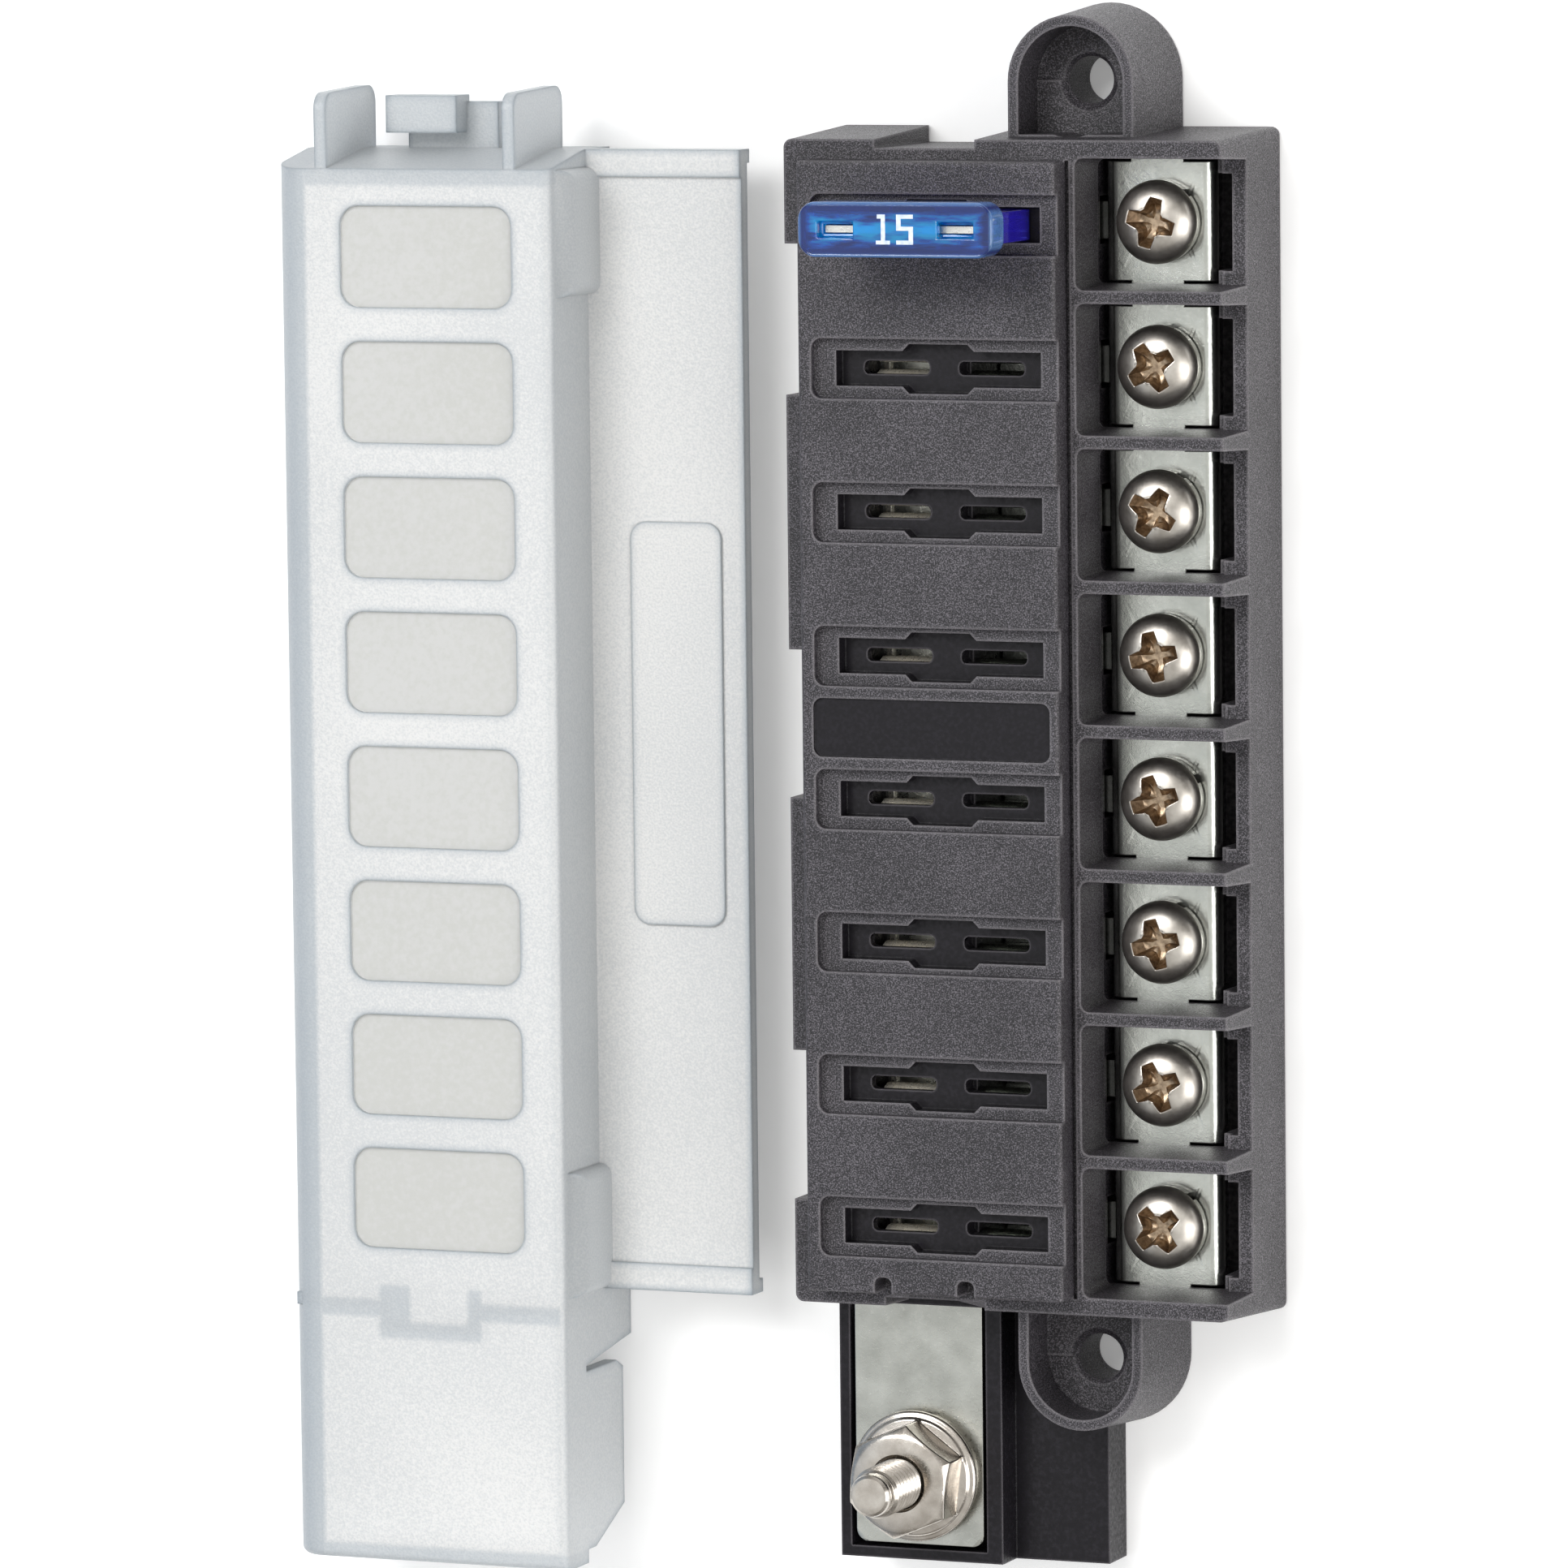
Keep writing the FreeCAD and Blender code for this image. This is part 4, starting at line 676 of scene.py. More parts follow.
def modify(item: bpy.types.Object, kind: str, **settings: Any) -> None:
    """Add a modifier with these settings and apply it.

    Args:
        item: the object.
        kind: the modifier's type.
        settings: the modifier's own.
    """
    alone(item)
    modifier = item.modifiers.new(kind.lower(), kind)
    for key, value in settings.items():
        setattr(modifier, key, value)
    bpy.ops.object.modifier_apply(modifier=modifier.name)


def combine(item: bpy.types.Object, tool: bpy.types.Object, operation: str = "DIFFERENCE") -> None:
    """Cut, join or intersect an object with a tool, and remove the tool."""
    modify(item, "BOOLEAN", object=tool, operation=operation, solver="EXACT")
    bpy.data.objects.remove(tool)


def soften(item: bpy.types.Object, radius: float, segments: int = 2, angle: float = 30.0) -> None:
    """Round the edges of an object.

    Args:
        item: the object.
        radius: width of the rounding, in millimetres.
        segments: how many faces it has.
        angle: the flattest edge that is rounded, in degrees.
    """
    modify(item, "BEVEL", width=mm(radius), segments=segments, limit_method="ANGLE",
           angle_limit=math.radians(angle), use_clamp_overlap=False, harden_normals=False)


def shade(item: bpy.types.Object, angle: float = 35.0) -> None:
    """Shade an object smooth, and leave its large faces flat.

    Args:
        item: the object.
        angle: edges flatter than this many degrees are smooth.
    """
    alone(item)
    bpy.ops.object.shade_smooth_by_angle(angle=math.radians(angle))
    modify(item, "WEIGHTED_NORMAL", mode="FACE_AREA", keep_sharp=True)


def outline(name: str, points: list[tuple[float, float, float]], closed: bool = False) -> bpy.types.Object:
    """Draw a chain of edges through points.

    Args:
        name: the object's name.
        points: the points, in millimetres.
        closed: whether the chain is closed and filled.

    Returns:
        The object, in object mode.
    """
    bpy.ops.object.select_all(action="DESELECT")
    bpy.ops.mesh.primitive_plane_add(size=mm(1.0))
    item = bpy.context.object
    item.name = name
    bpy.ops.object.mode_set(mode="EDIT")
    bpy.ops.mesh.select_mode(type="VERT")
    bpy.ops.mesh.select_all(action="SELECT")
    bpy.ops.mesh.merge(type="CENTER")
    bpy.ops.transform.translate(value=mm(*points[0]))
    for start, end in zip(points, points[1:]):
        bpy.ops.mesh.extrude_vertices_move(TRANSFORM_OT_translate={"value": mm(*end) - mm(*start)})
    if closed:
        bpy.ops.mesh.select_all(action="SELECT")
        bpy.ops.mesh.edge_face_add()
    bpy.ops.object.mode_set(mode="OBJECT")
    return item


def revolve(name: str, points: list[tuple[float, float]], steps: int = 72) -> bpy.types.Object:
    """Spin a section about the Z axis into a closed form.

    Args:
        name: the object's name.
        points: radius and height of the section's points, in millimetres, from axis to axis.
        steps: how many faces go round.

    Returns:
        The object, in object mode.
    """
    item = outline(name, [(radius, 0.0, height) for radius, height in points])
    edit_all(item, bpy.ops.mesh.spin, steps=steps, angle=math.tau, center=(0, 0, 0), axis=(0, 0, 1))
    return finish_mesh(item)


def threaded_rod(name: str, radius: float, pitch: float, low: float, high: float,
                 steps: int = 48) -> bpy.types.Object:
    """Wind a screw thread of 60 degrees about the Z axis, cut off flat at both ends.

    Args:
        name: the object's name.
        radius: over the crests, in millimetres.
        pitch: from crest to crest.
        low: height of its lower end.
        high: height of its upper end.
        steps: how many faces go round.

    Returns:
        The object, in object mode.
    """
    root = radius - THREAD_DEPTH * pitch
    start = math.floor(low / pitch - 1) * pitch
    section = ((root, 0.0), (root, 0.125), (radius, 0.4375), (radius, 0.5625), (root, 0.875), (root, 1.0))
    item = outline(name, [(reach, 0.0, start + pitch * part) for reach, part in section])
    modify(item, "SCREW", axis="Z", angle=math.tau, steps=steps, render_steps=steps,
           screw_offset=mm(pitch), iterations=math.ceil((high - start) / pitch) + 1,
           use_merge_vertices=True, use_smooth_shade=False)
    finish_mesh(item)
    for height, keep_above in ((low, True), (high, False)):
        # A wide threshold would keep points near the cut, and leave it open.
        edit_all(item, bpy.ops.mesh.bisect, plane_co=(0, 0, mm(height)), plane_no=(0, 0, 1), use_fill=True,
                 clear_inner=keep_above, clear_outer=not keep_above, threshold=mm(0.0005))
    return finish_mesh(item)


def put(item: bpy.types.Object, place: tuple[float, float, float], turn: float = 0.0) -> bpy.types.Object:
    """Turn an object about the Z axis, move it from the origin to its place and keep both in its mesh.

    Args:
        item: the object.
        place: where its origin goes, in millimetres.
        turn: degrees, seen from the front.

    Returns:
        The object.
    """
    alone(item)
    item.rotation_euler = (0, 0, math.radians(turn))
    item.location = mm(*place)
    bpy.ops.object.transform_apply(location=True, rotation=True, scale=True)
    return item


def copy_of(item: bpy.types.Object, name: str) -> bpy.types.Object:
    """Copy an object with a mesh of its own.

    Args:
        item: what is copied.
        name: the copy's name.

    Returns:
        The copy.
    """
    alone(item)
    bpy.ops.object.duplicate()
    twin = bpy.context.object
    twin.name = name
    return twin


def rounded_node(node: str, radius: float, segments: int = 2,
                 shape: Callable[[bpy.types.Object], None] | None = None) -> bpy.types.Object:
    """Copy a solid of the frame, its flat faces made whole and its edges rounded.

    Args:
        node: the solid's name.
        radius: width of the rounding, in millimetres, or nothing where the solid has its own.
        segments: how many faces the rounding has.
        shape: shapes the copy further before its edges are rounded.

    Returns:
        The copy, with no slot of its own yet.
    """
    item = copy_of(frame["nodes"][node], f"{node}_moulded")
    bpy.ops.object.parent_clear(type="CLEAR_KEEP_TRANSFORM")
    for key in list(item.keys()):
        del item[key]
    bpy.ops.object.mode_set(mode="EDIT")
    bpy.ops.mesh.select_all(action="SELECT")
    bpy.ops.mesh.remove_doubles(threshold=mm(MERGE_DISTANCE))
    bpy.ops.mesh.dissolve_limited(angle_limit=math.radians(1.0))
    bpy.ops.object.mode_set(mode="OBJECT")
    if item.data.has_custom_normals:
        bpy.ops.mesh.customdata_custom_splitnormals_clear()
    if shape:
        shape(item)
    edit_all(item, bpy.ops.mesh.quads_convert_to_tris, quad_method="BEAUTY", ngon_method="BEAUTY")
    if radius:
        soften(item, radius, segments)
    shade(item)
    return item


def fit(item: bpy.types.Object, body: str, slot: str, *nodes: str) -> None:
    """Let a finished piece move with a body and stand for solids of the frame.

    Args:
        item: the piece.
        body: name of the body that carries it.
        slot: name of the record's material slot; not used.
        nodes: the solids it stands for.
    """
    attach(item, body)
    if nodes:
        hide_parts(*nodes)
    log.info("%s rides on %s, %d faces", item.name, body, len(item.data.polygons))


# Studio

@dataclass
class Studio:
    """Pale floor, soft lights and the camera at the photograph's viewing angle."""

    eye: tuple[float, float, float] = (324.77, 91.75, 888.48)
    right: tuple[float, float, float] = (0.92770, -0.01093, -0.37316)
    up: tuple[float, float, float] = (-0.02830, 0.99464, -0.09948)
    back: tuple[float, float, float] = (0.37224, 0.10285, 0.92242)
    lens: float = 232.28
    sensor: float = 36.0
    floor_gap: float = 0.3
    floor_lift: float = 0.18
    # Each soft box's name, place and size in metres, and watts.
    lamps: tuple[tuple[str, tuple[float, float, float], tuple[float, float], float], ...] = (
        ("key_box", (-0.5, 0.9, 1.7), (1.2, 0.7), 22.0),
        ("side_box", (1.7, -0.3, 1.0), (1.1, 1.8), 26.0))

    def camera(self) -> None:
        """Place the camera."""
        data = bpy.data.cameras.new("camera")
        data.lens, data.sensor_width = self.lens, self.sensor
        data.clip_start, data.clip_end = 0.05, 20.0
        item = bpy.data.objects.new("camera", data)
        bpy.context.scene.collection.objects.link(item)
        turn = Matrix((self.right, self.up, self.back)).transposed().to_4x4()
        item.matrix_world = Matrix.Translation(mm(*self.eye)) @ turn
        bpy.context.scene.camera = item

    def lamp(self, name: str, place: tuple[float, float, float], size: tuple[float, float],
             power: float) -> None:
        """Add one soft box that faces the object.

        Args:
            name: its name.
            place: where it hangs, in metres.
            size: width and height in metres.
            power: watts.
        """
        data = bpy.data.lights.new(name, "AREA")
        data.shape, data.size, data.size_y, data.energy = "RECTANGLE", size[0], size[1], power
        item = bpy.data.objects.new(name, data)
        bpy.context.scene.collection.objects.link(item)
        item.location = place
        item.rotation_euler = (-Vector(place)).to_track_quat("-Z", "Y").to_euler()

    def seen(self, recipe: Recipe) -> bpy.types.NodeSocket:
        """Add what is one for rays from the camera, a gloss or a clear piece.

        Args:
            recipe: the nodes that it is added to.

        Returns:
            Its socket.
        """
        rays = recipe.add("LightPath").outputs
        first = recipe.add("Math", {0: rays["Is Camera Ray"], 1: rays["Is Transmission Ray"]},
                           operation="MAXIMUM")
        second = recipe.add("Math", {0: first.outputs[0], 1: rays["Is Glossy Ray"]}, operation="MAXIMUM")
        return second.outputs[0]

    def sky(self) -> None:
        """A pale grey room: lighter overhead, darker near the floor, and cool on the left."""
        world = bpy.data.worlds.new("room")
        recipe = Recipe(world)
        way = recipe.add("TexCoord").outputs["Generated"]
        parts = recipe.add("SeparateXYZ", {"Vector": way})
        bands = recipe.add("TexNoise", {"Vector": way, "Scale": 1.6, "Detail": 1.0})
        drift = recipe.add("MapRange", {"Value": bands.outputs["Fac"], "From Min": 0.3, "From Max": 0.7,
                                        "To Min": -0.22, "To Max": 0.22})
        height = recipe.add("Math", {0: parts.outputs["Z"], 1: drift.outputs["Result"]}, operation="ADD")
        shades = recipe.add("ValToRGB", {"Fac": height.outputs[0]},
                            stops=((0.0, "#8d8a88"), (0.3, "#77746f"), (0.62, "#b3b1ae"),
                                   (0.95, "#f0f0ee")))
        left = recipe.add("MapRange", {"Value": parts.outputs["X"], "From Min": -0.95, "From Max": -0.3,
                                       "To Min": 0.7, "To Max": 0.0})
        cool = recipe.add("MixRGB", {"Fac": left.outputs["Result"], "Color1": shades.outputs["Color"],
                                     "Color2": linear("#a7bbd2")})
        room = recipe.add("Background", {"Color": cool.outputs["Color"], "Strength": 1.25})
        recipe.add("OutputWorld", {"Surface": room.outputs[0]})
        bpy.context.scene.world = world

    def floor(self) -> None:
        """A wide white sheet just under the object, a little brighter where it is seen."""
        bpy.ops.object.select_all(action="DESELECT")
        low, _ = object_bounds()
        bpy.ops.mesh.primitive_plane_add(size=12.0, location=(0, 0, low.z - mm(self.floor_gap)))
        sheet = bpy.context.object
        sheet.name = "floor"
        recipe = Recipe(bpy.data.materials.new("matt_white_paper"))
        place = recipe.add("TexCoord").outputs["Object"]
        tooth = recipe.add("TexNoise", {"Vector": place, "Scale": per_mm(1.5), "Detail": 2.0})
        colour = recipe.add("ValToRGB", {"Fac": tooth.outputs["Fac"]},
                            stops=((0.2, "#f2f2f2"), (0.8, "#f6f6f6")))
        paper = recipe.add("BsdfDiffuse", {"Color": colour.outputs["Color"]})
        lift = recipe.add("Math", {0: self.seen(recipe), 1: self.floor_lift}, operation="MULTIPLY")
        glow = recipe.add("Emission", {"Color": linear("#ffffff"), "Strength": lift.outputs[0]})
        both = recipe.add("AddShader", {0: paper.outputs[0], 1: glow.outputs[0]})
        recipe.add("OutputMaterial", {"Surface": both.outputs[0]})
        dress(sheet, recipe.owner)
        sheet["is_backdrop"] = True

    def build(self) -> None:
        """Set the studio up."""
        self.camera()
        self.sky()
        self.floor()
        for lamp in self.lamps:
            self.lamp(*lamp)
        bpy.context.scene.view_settings.view_transform = "Standard"
        log.info("studio set up")


# The object

WAYS = tuple(range(1, 9))
MIDDLE_WAY = sum(WAYS) / len(WAYS)
WAY_PITCH = 13.4


def way_line(number: int) -> float:
    """Height up the row, in millimetres, of the way with this number."""
    return (MIDDLE_WAY - number) * WAY_PITCH


class Thread(Enum):
    """Threads in use: radius over the crests and pitch, in millimetres."""

    STUD = (2.415, 0.79375)
    SCREW = (2.05, 0.79375)


@dataclass
class Mouldings:
    """The black housing, its back plate and the clear cover."""

    socket_ends: tuple[float, float] = (-22.4, -0.6)
    socket_half: float = 2.5
    socket_levels: tuple[float, float] = (1.0, 15.95)
    block_foot: float = -53.5
    platform_foot: float = -79.8
    platform_right: float = -9.0
    platform_level: float = 8.3
    ledge_right: float = 0.35
    ledge_level: float = 4.6
    panel_line: float = -12.15
    panel_half: tuple[float, float] = (11.9, 2.85)
    panel_levels: tuple[float, float] = (16.5, 16.9)
    slot_ends: tuple[float, ...] = (-19.4, -12.9, -10.0, -3.5)
    slot_half: float = 0.625
    slot_round: float = 0.5
    label_line: float = -63.15
    label_pitch: float = 12.83
    label_middle: float = -1.5
    label_half: tuple[float, float] = (8.7, 4.65)
    label_levels: tuple[float, float] = (15.4, 15.95)

    def round_slots(self, housing: bpy.types.Object) -> None:
        """Round the ends of the slots that the blades go into.

        Args:
            housing: the housing's object.
        """
        def at_corner(end: Vector) -> bool:
            """Say whether a point stands on a corner of a slot.

            Args:
                end: the point, in millimetres.

            Returns:
                True on a corner.
            """
            along = any(abs(end.x - line) < 0.05 for line in self.slot_ends)
            across = any(abs(abs(end.y - way_line(way)) - self.slot_half) < 0.05 for way in WAYS)
            return along and across

        def is_corner(ends: list[Vector]) -> bool:
            """Whether an edge is an upright corner of a slot."""
            upright = abs(ends[0].z - ends[1].z) > 0.5 and (ends[0] - ends[1]).xy.length < 0.02
            return upright and all(at_corner(end) for end in ends)

        edit_some(housing, Part.EDGES, is_corner, bpy.ops.mesh.bevel,
                  offset=mm(self.slot_round), segments=4, affect="EDGES")

    def in_socket(self, corners: list[Vector]) -> bool:
        """Say whether a face lies in the sunk floor of a fuse socket.

        Args:
            corners: the face's corners, in millimetres.

        Returns:
            True in a socket.
        """
        middle = sum(corners, Vector()) / len(corners)
        near = any(abs(middle.y - way_line(way)) < self.socket_half for way in WAYS)
        across = self.socket_ends[0] < middle.x < self.socket_ends[1]
        return near and across and self.socket_levels[0] < middle.z < self.socket_levels[1]

    def is_smooth_or_shaded(self, corners: list[Vector]) -> bool:
        """Say whether a face of the housing takes the smooth finish: polished in the sockets and on the
        panel, and painted shade on the low platform and ledge.

        Args:
            corners: the face's corners, in millimetres.

        Returns:
            True in a socket, and on the platform, the ledge and the panel.
        """
        middle = sum(corners, Vector()) / len(corners)
        low = all(corner.y < self.block_foot for corner in corners)
        platform = low and middle.z > 0.1 and all(
            corner.x < self.platform_right and corner.z < self.platform_level for corner in corners)
        planes = ((0, self.ledge_right), (1, self.platform_foot), (2, self.ledge_level))
        ledge = low and any(all(abs(corner[axis] - level) < 0.05 for corner in corners)
                            for axis, level in planes)
        half_x, half_y = self.panel_half
        panel = (abs(middle.x - self.panel_line) < half_x and abs(middle.y) < half_y
                 and self.panel_levels[0] < middle.z < self.panel_levels[1])
        return platform or ledge or panel or self.in_socket(corners)

    def in_label(self, corners: list[Vector]) -> bool:
        """Say whether a face lies in one of the label fields on the cover's front.

        Args:
            corners: the face's corners, in millimetres.

        Returns:
            True in a label field.
        """
        middle = sum(corners, Vector()) / len(corners)
        half_x, half_y = self.label_half
        across = abs(middle.x - self.label_line) < half_x
        lines = [self.label_middle + (MIDDLE_WAY - way) * self.label_pitch for way in WAYS]
        level = self.label_levels[0] < middle.z < self.label_levels[1]
        return across and level and any(abs(middle.y - line) < half_y for line in lines)

    def housing(self) -> None:
        """Model and dress the housing."""
        item = rounded_node("housing", 0.0, shape=self.round_slots)
        # The cores that form the smooth faces of the sockets and the panel are polished, so these faces are
        # darker and glossier; the low platform and ledge take the same darker colour as painted shade.
        polished = MouldedPlastic(name="glass_filled_nylon_polished_and_shaded", pit="#141216", skin="#18161a",
                                  spark="#201e23", edge_highlight="#6a666b", grain=0.4, depth=0.01, roughness=0.36,
                                  gloss=0.2, edge_radius=0.2)
        dress_faces(item, MouldedPlastic().build(), polished.build(), self.is_smooth_or_shaded)
        fit(item, "block", "black_plastic", "housing")

    def back_plate(self) -> None:
        """Model and dress the back plate."""
        item = rounded_node("back_plate", 0.0)
        # A plain moulding with a broad dull grain, a little paler than the housing.
        dress(item, MouldedPlastic(name="nylon_plate_moulded", pit="#29272a", skin="#3b383b",
                                   spark="#4c494b", grain=0.5, depth=0.02).build())
        fit(item, "block", "back_plate_plastic", "back_plate")

    def cover(self) -> None:
        """Model and dress the cover."""
        item = rounded_node("cover", 0.0)
        # The label fields are polished in the mould, so they are clearer and smoother than the rest.
        field = FrostedClear(name="polypropylene_polished_field", low="#d7d7d3", high="#dddddb", grain=0.6,
                             depth=0.01, roughness=0.16, edge_radius=0.15)
        dress_faces(item, FrostedClear().build(), field.build(), self.in_label)
        fit(item, "cover", "frosted_plastic", "cover")

    def build(self) -> None:
        """Build the mouldings."""
        self.housing()
        self.back_plate()
        self.cover()


@dataclass
class PowerTerminal:
    """The power stud with its nut and washer, and the bar that it feeds."""

    place: tuple[float, float] = (-17.5, -71.6)
    head_radius: float = 4.3
    head_height: float = 2.4
    head_edge: float = 0.2
    foot: float = 4.0
    tip: float = 21.2
    lead_radius: float = 2.03
    lead_length: float = 1.6
    seat: float = 9.0
    nut_flats: float = 9.53
    nut_height: float = 4.9
    nut_turn: float = -7.0
    flange_radius: float = 6.25
    flange_height: float = 1.0
    slack: float = 0.09

    def stud(self, steel: bpy.types.Material) -> None:
        """Model the threaded stud with its smooth rounded lead, over its head.

        Args:
            steel: its material.
        """
        radius, pitch = Thread.STUD.value
        slim, foot, tip = self.lead_radius, self.foot, self.tip
        shoulder = tip - self.lead_length
        item = threaded_rod("power_stud_thread", radius, pitch, foot + 1.0, tip)
        blank = revolve("stud_blank", [
            (0, foot), (3.0, foot), (3.0, shoulder - 0.9), (radius + 0.02, shoulder - 0.4),
            (slim, shoulder), (slim, tip - 0.55), (slim - 0.1, tip - 0.25), (slim - 0.35, tip - 0.05),
            (slim - 0.75, tip), (0, tip)])
        combine(item, blank, "INTERSECT")
        reach, edge, top = self.head_radius, self.head_edge, foot + self.head_height
        head = revolve("stud_head", [(0, foot), (reach - edge, foot), (reach, foot + edge),
                                     (reach, top - edge), (reach - edge, top), (0, top)])
        combine(item, head, "UNION")
        shade(item, 28)
        dress(item, steel)
        put(item, (*self.place, 0.0))
        fit(item, "block", "stud_steel", "power_stud")

    def nut(self, steel: bpy.types.Material) -> None:
        """Model the flanged nut, its thread running on from the stud's.

        Args:
            steel: its material.
        """
        radius, pitch = Thread.STUD.value
        reach = self.nut_flats / math.sqrt(3)
        bpy.ops.object.select_all(action="DESELECT")
        bpy.ops.mesh.primitive_cylinder_add(vertices=6, radius=mm(reach), depth=mm(self.nut_height),
                                            location=mm(0, 0, self.nut_height / 2))
        item = bpy.context.object
        item.name = "stud_nut_threaded"
        bpy.ops.object.transform_apply(location=True, rotation=True, scale=True)
        top = self.nut_height
        flat = self.nut_flats / 2
        blank = revolve("nut_blank", [(0, -0.1), (reach + 0.1, -0.1), (reach + 0.1, top - 0.78),
                                      (flat - 0.1, top - 0.12), (flat - 0.45, top), (0, top)], 96)
        combine(item, blank, "INTERSECT")
        rim, rise = self.flange_radius, self.flange_height
        flange = revolve("nut_flange", [(0, 0), (rim - 0.15, 0), (rim, 0.15), (rim, 0.5), (rim - 0.2, 0.68),
                                        (rim - 0.55, 0.72), (rim - 0.75, rise), (0, rise + 0.05)], 96)
        combine(item, flange, "UNION")
        soften(item, 0.12, 2, 35)
        mouth = radius + 0.35
        for sign, level in ((1, top), (-1, 0.0)):
            cone = revolve("nut_mouth", [(0, level - sign * mouth), (mouth + 0.2, level + sign * 0.2),
                                         (0, level + sign * 0.2)], 64)
            combine(item, cone)
        lift = self.seat
        thread = threaded_rod("nut_thread", radius + self.slack, pitch, lift - 0.6, lift + top + 0.6)
        put(thread, (0, 0, -lift), -self.nut_turn)
        combine(item, thread)
        finish_mesh(item)
        shade(item, 30)
        dress(item, steel)
        put(item, (*self.place, self.seat), self.nut_turn)
        fit(item, "nut", "nut_steel", "stud_nut")

    def build(self) -> None:
        """Model and dress the terminal."""
        steel = HeadedSteel().build()
        self.stud(steel)
        self.nut(steel)
        washer = rounded_node("stud_washer", 0.14, 3)
        dress(washer, steel)
        fit(washer, "stud_washer", "washer_steel", "stud_washer")
        bar = rounded_node("bus_bar", 0.1)
        dress(bar, PlatedSheet().build())
        fit(bar, "block", "tinned_bar", "bus_bar")


@dataclass
class WireTerminals:
    """The eight plates with their clips, screws and lock washers."""

    line: float = 7.4
    seat: float = 8.2
    head_radius: float = 3.9
    head_rise: float = 2.5
    head_edge: float = 0.45
    dome_power: float = 2.5
    shank: float = 6.35
    recess_reach: float = 2.35
    recess_half: float = 0.6
    recess_flare: float = 1.14
    recess_foot: float = 0.6
    recess_corner: float = 0.84
    recess_round: float = 0.4
    recess_depth: float = 1.7
    screw_turns: tuple[float, ...] = (75.0, 32.0, 59.5, 13.0, 17.3, 13.5, 23.2, 40.0)
    washer_turns: tuple[float, ...] = (40.0, 70.0, 55.0, 95.0, 25.0, 60.0, 80.0, 45.0)
    washer: tuple[float, float, float] = (2.2, 3.8, 1.2)
    washer_rise: float = 0.18
    washer_edge: float = 0.12
    washer_split: float = 13.5

    def dome(self, part: float) -> float:
        """Height of the screw head at this part of its radius."""
        return self.head_edge + (self.head_rise - self.head_edge) * math.sqrt(1 - part ** self.dome_power)

    def head(self) -> bpy.types.Object:
        """Model the domed screw head.

        Returns:
            The head, its seat at the origin.
        """
        reach = self.head_radius
        dome = [(reach * step / 14, self.dome(step / 14)) for step in range(15)]
        return revolve("screw_head", [(0, 0), (reach - 0.15, 0), (reach, 0.15), *dome[::-1]], 72)

    def cross(self) -> bpy.types.Object:
        """Model the driver's cross: four flared wings that narrow to a pointed foot.

        Returns:
            The cross as a solid, at its place in the screw head.
        """
        arm, half, corner = self.recess_reach, self.recess_half, self.recess_corner
        low = self.head_rise - self.recess_depth
        quarter = [(half, arm), (corner, corner), (arm, half)]
        points = list(quarter)
        for sign_x, sign_y, order in ((1, -1, -1), (-1, -1, 1), (-1, 1, -1)):
            points += [(sign_x * x, sign_y * y) for x, y in quarter[::order]]
        top = self.head_rise + 0.3
        flare = self.recess_flare
        item = outline("screw_cross", [(x * flare, y * flare, top) for x, y in points], closed=True)
        bpy.ops.object.mode_set(mode="EDIT")
        bpy.ops.mesh.extrude_region_move(TRANSFORM_OT_translate={"value": mm(0, 0, low - top)})
        bpy.ops.transform.resize(value=(self.recess_foot, self.recess_foot, 1.0),
                                 center_override=mm(0, 0, low))
        bpy.ops.mesh.extrude_region_move(TRANSFORM_OT_translate={"value": mm(0, 0, -0.3)})
        bpy.ops.transform.resize(value=(0.5, 0.5, 1.0), center_override=mm(0, 0, low))
        bpy.ops.object.mode_set(mode="OBJECT")
        finish_mesh(item)

        def is_inner(ends: list[Vector]) -> bool:
            """Whether an edge runs down between two wings."""
            diagonal = all(abs(abs(end.x) - abs(end.y)) < 0.05 for end in ends)
            return diagonal and abs(ends[0].z - ends[1].z) > 0.5

        edit_some(item, Part.EDGES, is_inner, bpy.ops.mesh.bevel,
                  offset=mm(self.recess_round), segments=4, affect="EDGES")
        return item

    def in_cross(self, corners: list[Vector]) -> bool:
        """Say whether a face of the screw lies in the driver's cross, below the dome.

        Args:
            corners: the face's corners, in millimetres.

        Returns:
            True in the cross.
        """
        middle = sum(corners, Vector()) / len(corners)
        part = min(middle.xy.length / self.head_radius, 0.98)
        return part < 0.75 and 0.3 < middle.z < self.dome(part) - 0.09

    def screw(self) -> bpy.types.Object:
        """Model one screw.

        Returns:
            The screw, its seat at the origin.
        """
        radius, pitch = Thread.SCREW.value
        item = self.head()
        combine(item, self.cross())
        soften(item, 0.06, 2, 50)
        thread = threaded_rod("screw_thread", radius, pitch, -self.shank, 0.3, 40)
        low = -self.shank
        blank = revolve("screw_blank", [(0, low), (1.55, low), (radius + 0.02, low + 0.5), (2.6, low + 0.9),
                                        (2.6, 0.25), (0, 0.25)], 40)
        combine(thread, blank, "INTERSECT")
        combine(item, thread, "UNION")
        finish_mesh(item)
        shade(item, 32)
        return item

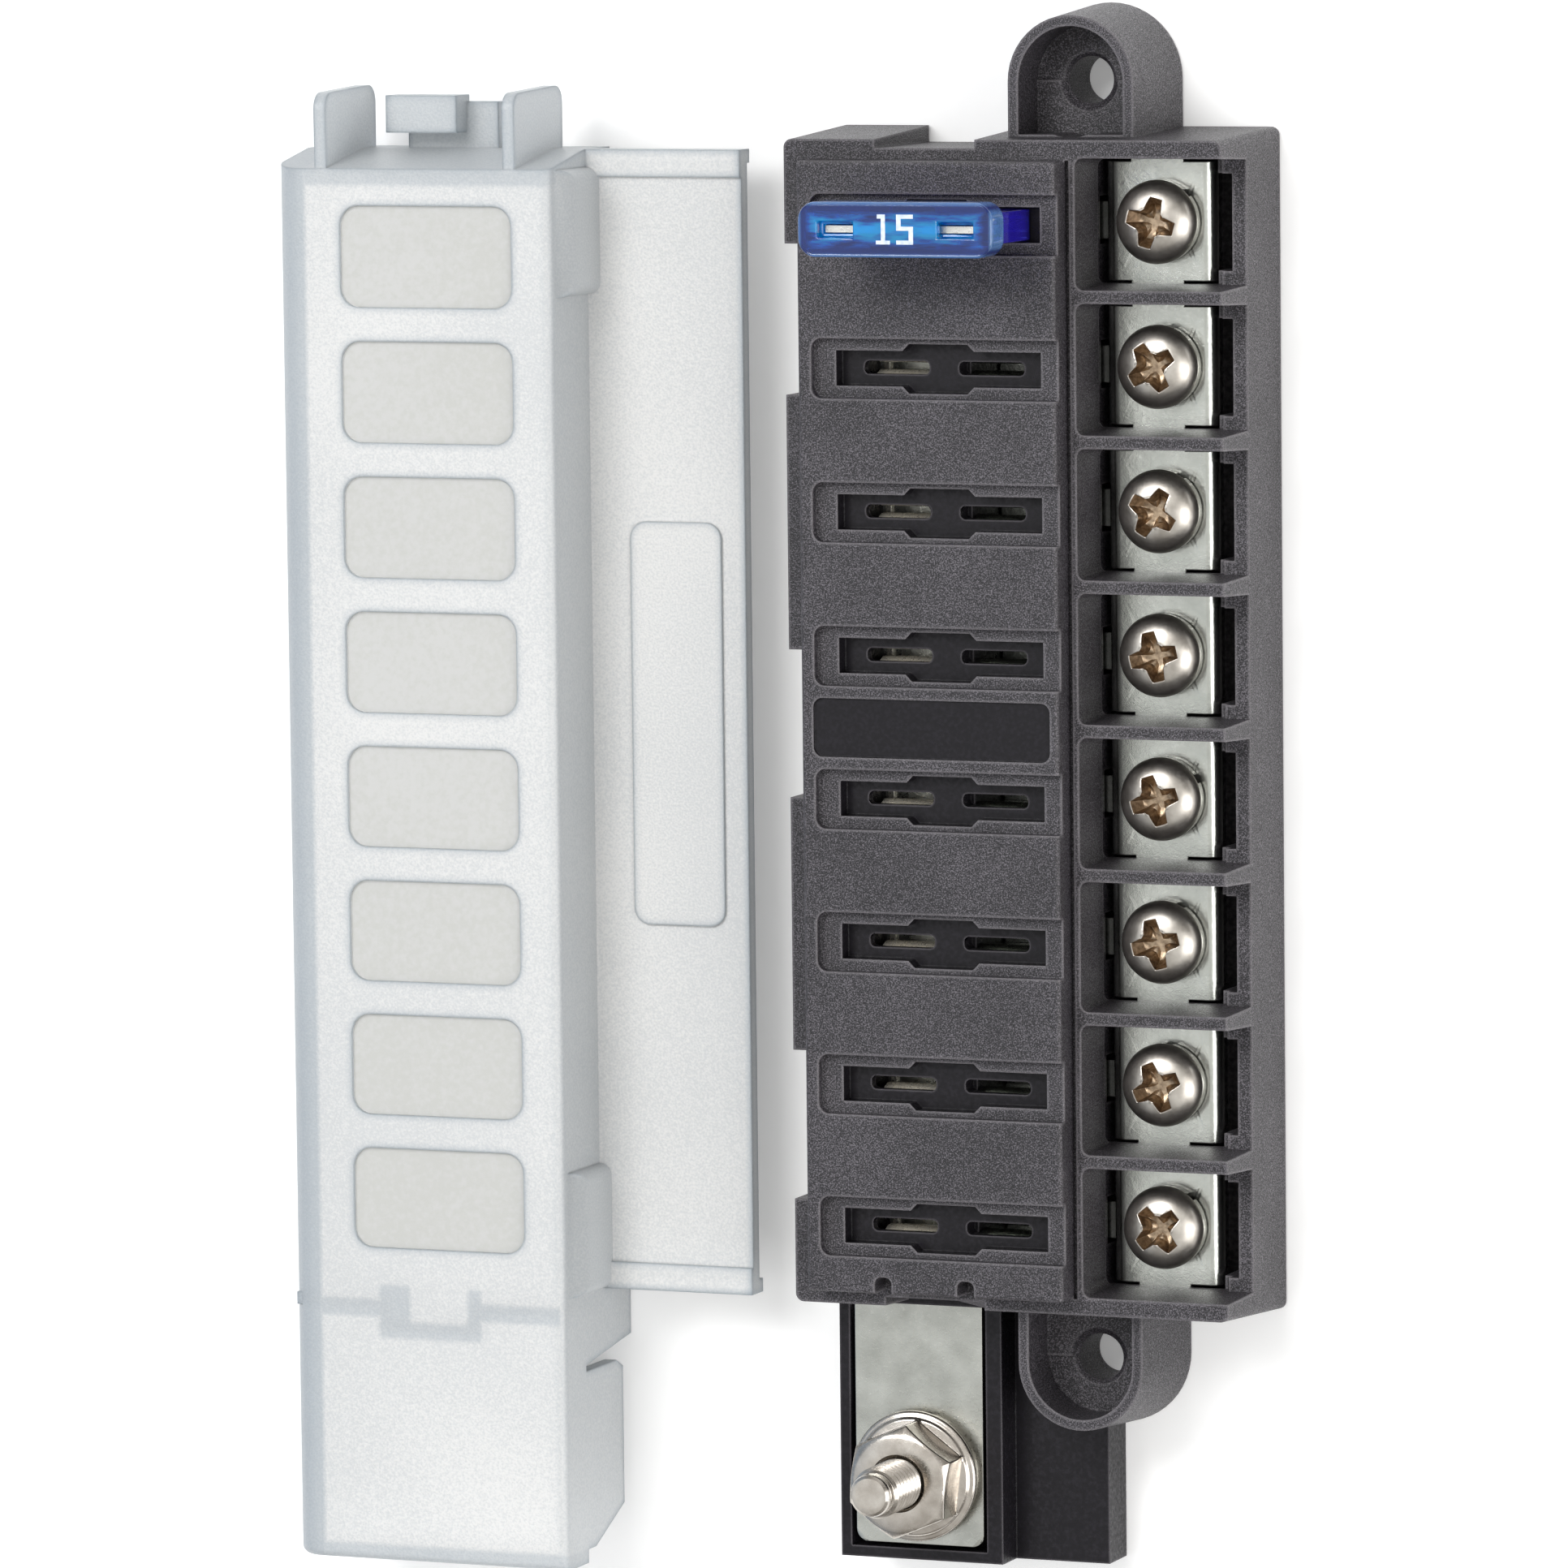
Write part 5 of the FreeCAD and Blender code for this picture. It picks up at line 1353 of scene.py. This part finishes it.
    def spring_ring(self) -> bpy.types.Object:
        """Model one split lock washer.

        Returns:
            The washer, its lower face at the origin.
        """
        inner, outer, height = self.washer
        soft = self.washer_edge
        thick = height - self.washer_rise
        section = [(inner, soft), (inner + soft, 0), (outer - soft, 0), (outer, soft),
                   (outer, thick - soft), (outer - soft, thick), (inner + soft, thick),
                   (inner, thick - soft), (inner, soft)]
        item = outline("spring_ring", [(reach, 0.0, level) for reach, level in section])
        modify(item, "SCREW", axis="Z", angle=math.radians(360 - self.washer_split), steps=60,
               render_steps=60, screw_offset=mm(self.washer_rise), iterations=1, use_smooth_shade=False)
        finish_mesh(item)
        edit_all(item, bpy.ops.mesh.fill_holes, sides=0)
        finish_mesh(item)
        shade(item, 25)
        return item

    def build(self) -> None:
        """Model and dress the terminals."""
        steel = HeadedSteel(name="stainless_steel_headed_warm", low="#aba59d", high="#cbc6be",
                            roughness=0.33).build()
        # The driver's cross is a little rougher than the head, and darker and browner as painted shade in
        # the recess.
        shaded_cross = HeadedSteel(name="stainless_steel_shaded_cross", low="#7c6b59", high="#b5a189", dent=0.4,
                              roughness=0.34).build()
        spring = HeadedSteel(name="spring_steel_coiled", low="#a9a5a0", high="#cfccc8",
                             roughness=0.16).build()
        plate = PlatedSheet(name="tin_plated_brass_stamped", low="#b3b6b0", high="#c9cbc5",
                            roughness=0.24).build()
        # The clips are pale and only partly metallic, a painted light that makes them look lit down in the
        # dark slots.
        lit_clip = PlatedSheet(name="tin_plated_bronze_clip_painted_light", low="#d9d3c6", high="#f4f0e6",
                           roughness=0.28, metallic=0.65).build()
        screw, ring = self.screw(), self.spring_ring()
        dress_faces(screw, steel, shaded_cross, self.in_cross)
        dress(ring, spring)
        for way in WAYS:
            turn = self.screw_turns[way - 1]
            item = put(copy_of(screw, f"cross_screw_{way}"), (self.line, way_line(way), self.seat), turn)
            fit(item, f"screw_{way}", "screw_steel", f"terminal_screw_{way}")
            place = (self.line, way_line(way), self.seat - self.washer[2])
            item = put(copy_of(ring, f"spring_ring_{way}"), place, self.washer_turns[way - 1] + 12)
            fit(item, f"washer_{way}", "washer_steel", f"lock_washer_{way}")
            item = rounded_node(f"output_terminal_{way}", 0.12)
            dress(item, plate)
            fit(item, "block", "terminal_metal", f"output_terminal_{way}")
            item = rounded_node(f"input_clip_{way}", 0.08)
            dress(item, lit_clip)
            fit(item, "block", "clip_metal", f"input_clip_{way}")
        for spare in (screw, ring):
            bpy.data.objects.remove(spare)


@dataclass
class BladeFuse:
    """The blade fuse in the first way."""

    line: tuple[float, float] = (-11.45, 46.9)
    top: float = 27.0
    sunk: float = 0.06
    digit_height: float = 2.75
    digit_middle: tuple[float, float] = (-11.35, 46.95)

    def body(self) -> None:
        """Model the blue body, its front a hair below the digits."""
        item = rounded_node("fuse_body", 0.28, 3)
        edit_some(item, Part.CORNERS, lambda ends: ends[0].z > self.top - 0.02,
                  bpy.ops.transform.translate, value=mm(0, 0, -self.sunk))
        dress(item, ClearBlue(middle=self.line).build())
        fit(item, "fuse", "clear_blue_plastic", "fuse_body")

    def digit(self, name: str, left: float, points: list[tuple[float, float]]) -> bpy.types.Object:
        """Model one printed digit.

        Args:
            name: the object's name.
            left: where its left edge stands, in millimetres.
            points: its outline, as parts of the digit's height.

        Returns:
            The digit, its ink standing just proud of the sunk front.
        """
        tall = self.digit_height
        x, y = self.digit_middle
        low = self.top - 2 * self.sunk
        corners = [(x + left + across * tall, y + (up - 0.5) * tall, low) for across, up in points]
        item = outline(name, corners, closed=True)
        edit_all(item, bpy.ops.mesh.extrude_region_move,
                 TRANSFORM_OT_translate={"value": mm(0, 0, 2 * self.sunk)})
        return finish_mesh(item)

    def number(self) -> None:
        """Model the printed number of the current rating."""
        one = self.digit("digit_one", -1.9, [
            (0.0, 0.0), (0.5, 0.0), (0.5, 0.13), (0.33, 0.13), (0.33, 1.0), (0.04, 1.0), (0.04, 0.86),
            (0.18, 0.86), (0.18, 0.13), (0.0, 0.13)])
        five = self.digit("digit_five", 0.1, [
            (0.0, 0.0), (0.6, 0.0), (0.6, 0.6), (0.16, 0.6), (0.16, 0.86), (0.6, 0.86), (0.6, 1.0),
            (0.0, 1.0), (0.0, 0.46), (0.44, 0.46), (0.44, 0.14), (0.0, 0.14)])
        alone(one)
        five.select_set(True)
        bpy.ops.object.join()
        item = bpy.context.object
        item.name = "rating_digits"
        bpy.ops.object.transform_apply(location=True, rotation=True, scale=True)
        modify(item, "BEVEL", width=mm(0.02), segments=1, limit_method="ANGLE",
               angle_limit=math.radians(40))
        dress(item, PrintedInk().build())
        fit(item, "fuse", "clear_blue_plastic")

    def build(self) -> None:
        """Model and dress the fuse."""
        self.body()
        self.number()
        item = rounded_node("fuse_element", 0.06)
        dress(item, PlatedSheet(name="tinned_zinc_strip", low="#a9a9a6", high="#e2e1dc", nick=0.3,
                                roughness=0.3).build())
        fit(item, "fuse", "fuse_metal", "fuse_element")


def main() -> None:
    """Build every piece in order."""
    logging.basicConfig(level=logging.INFO, format="%(name)s: %(message)s")
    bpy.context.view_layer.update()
    for assembly in (Studio(), Mouldings(), PowerTerminal(), WireTerminals(), BladeFuse()):
        assembly.build()


if __name__ == "__main__":
    main()
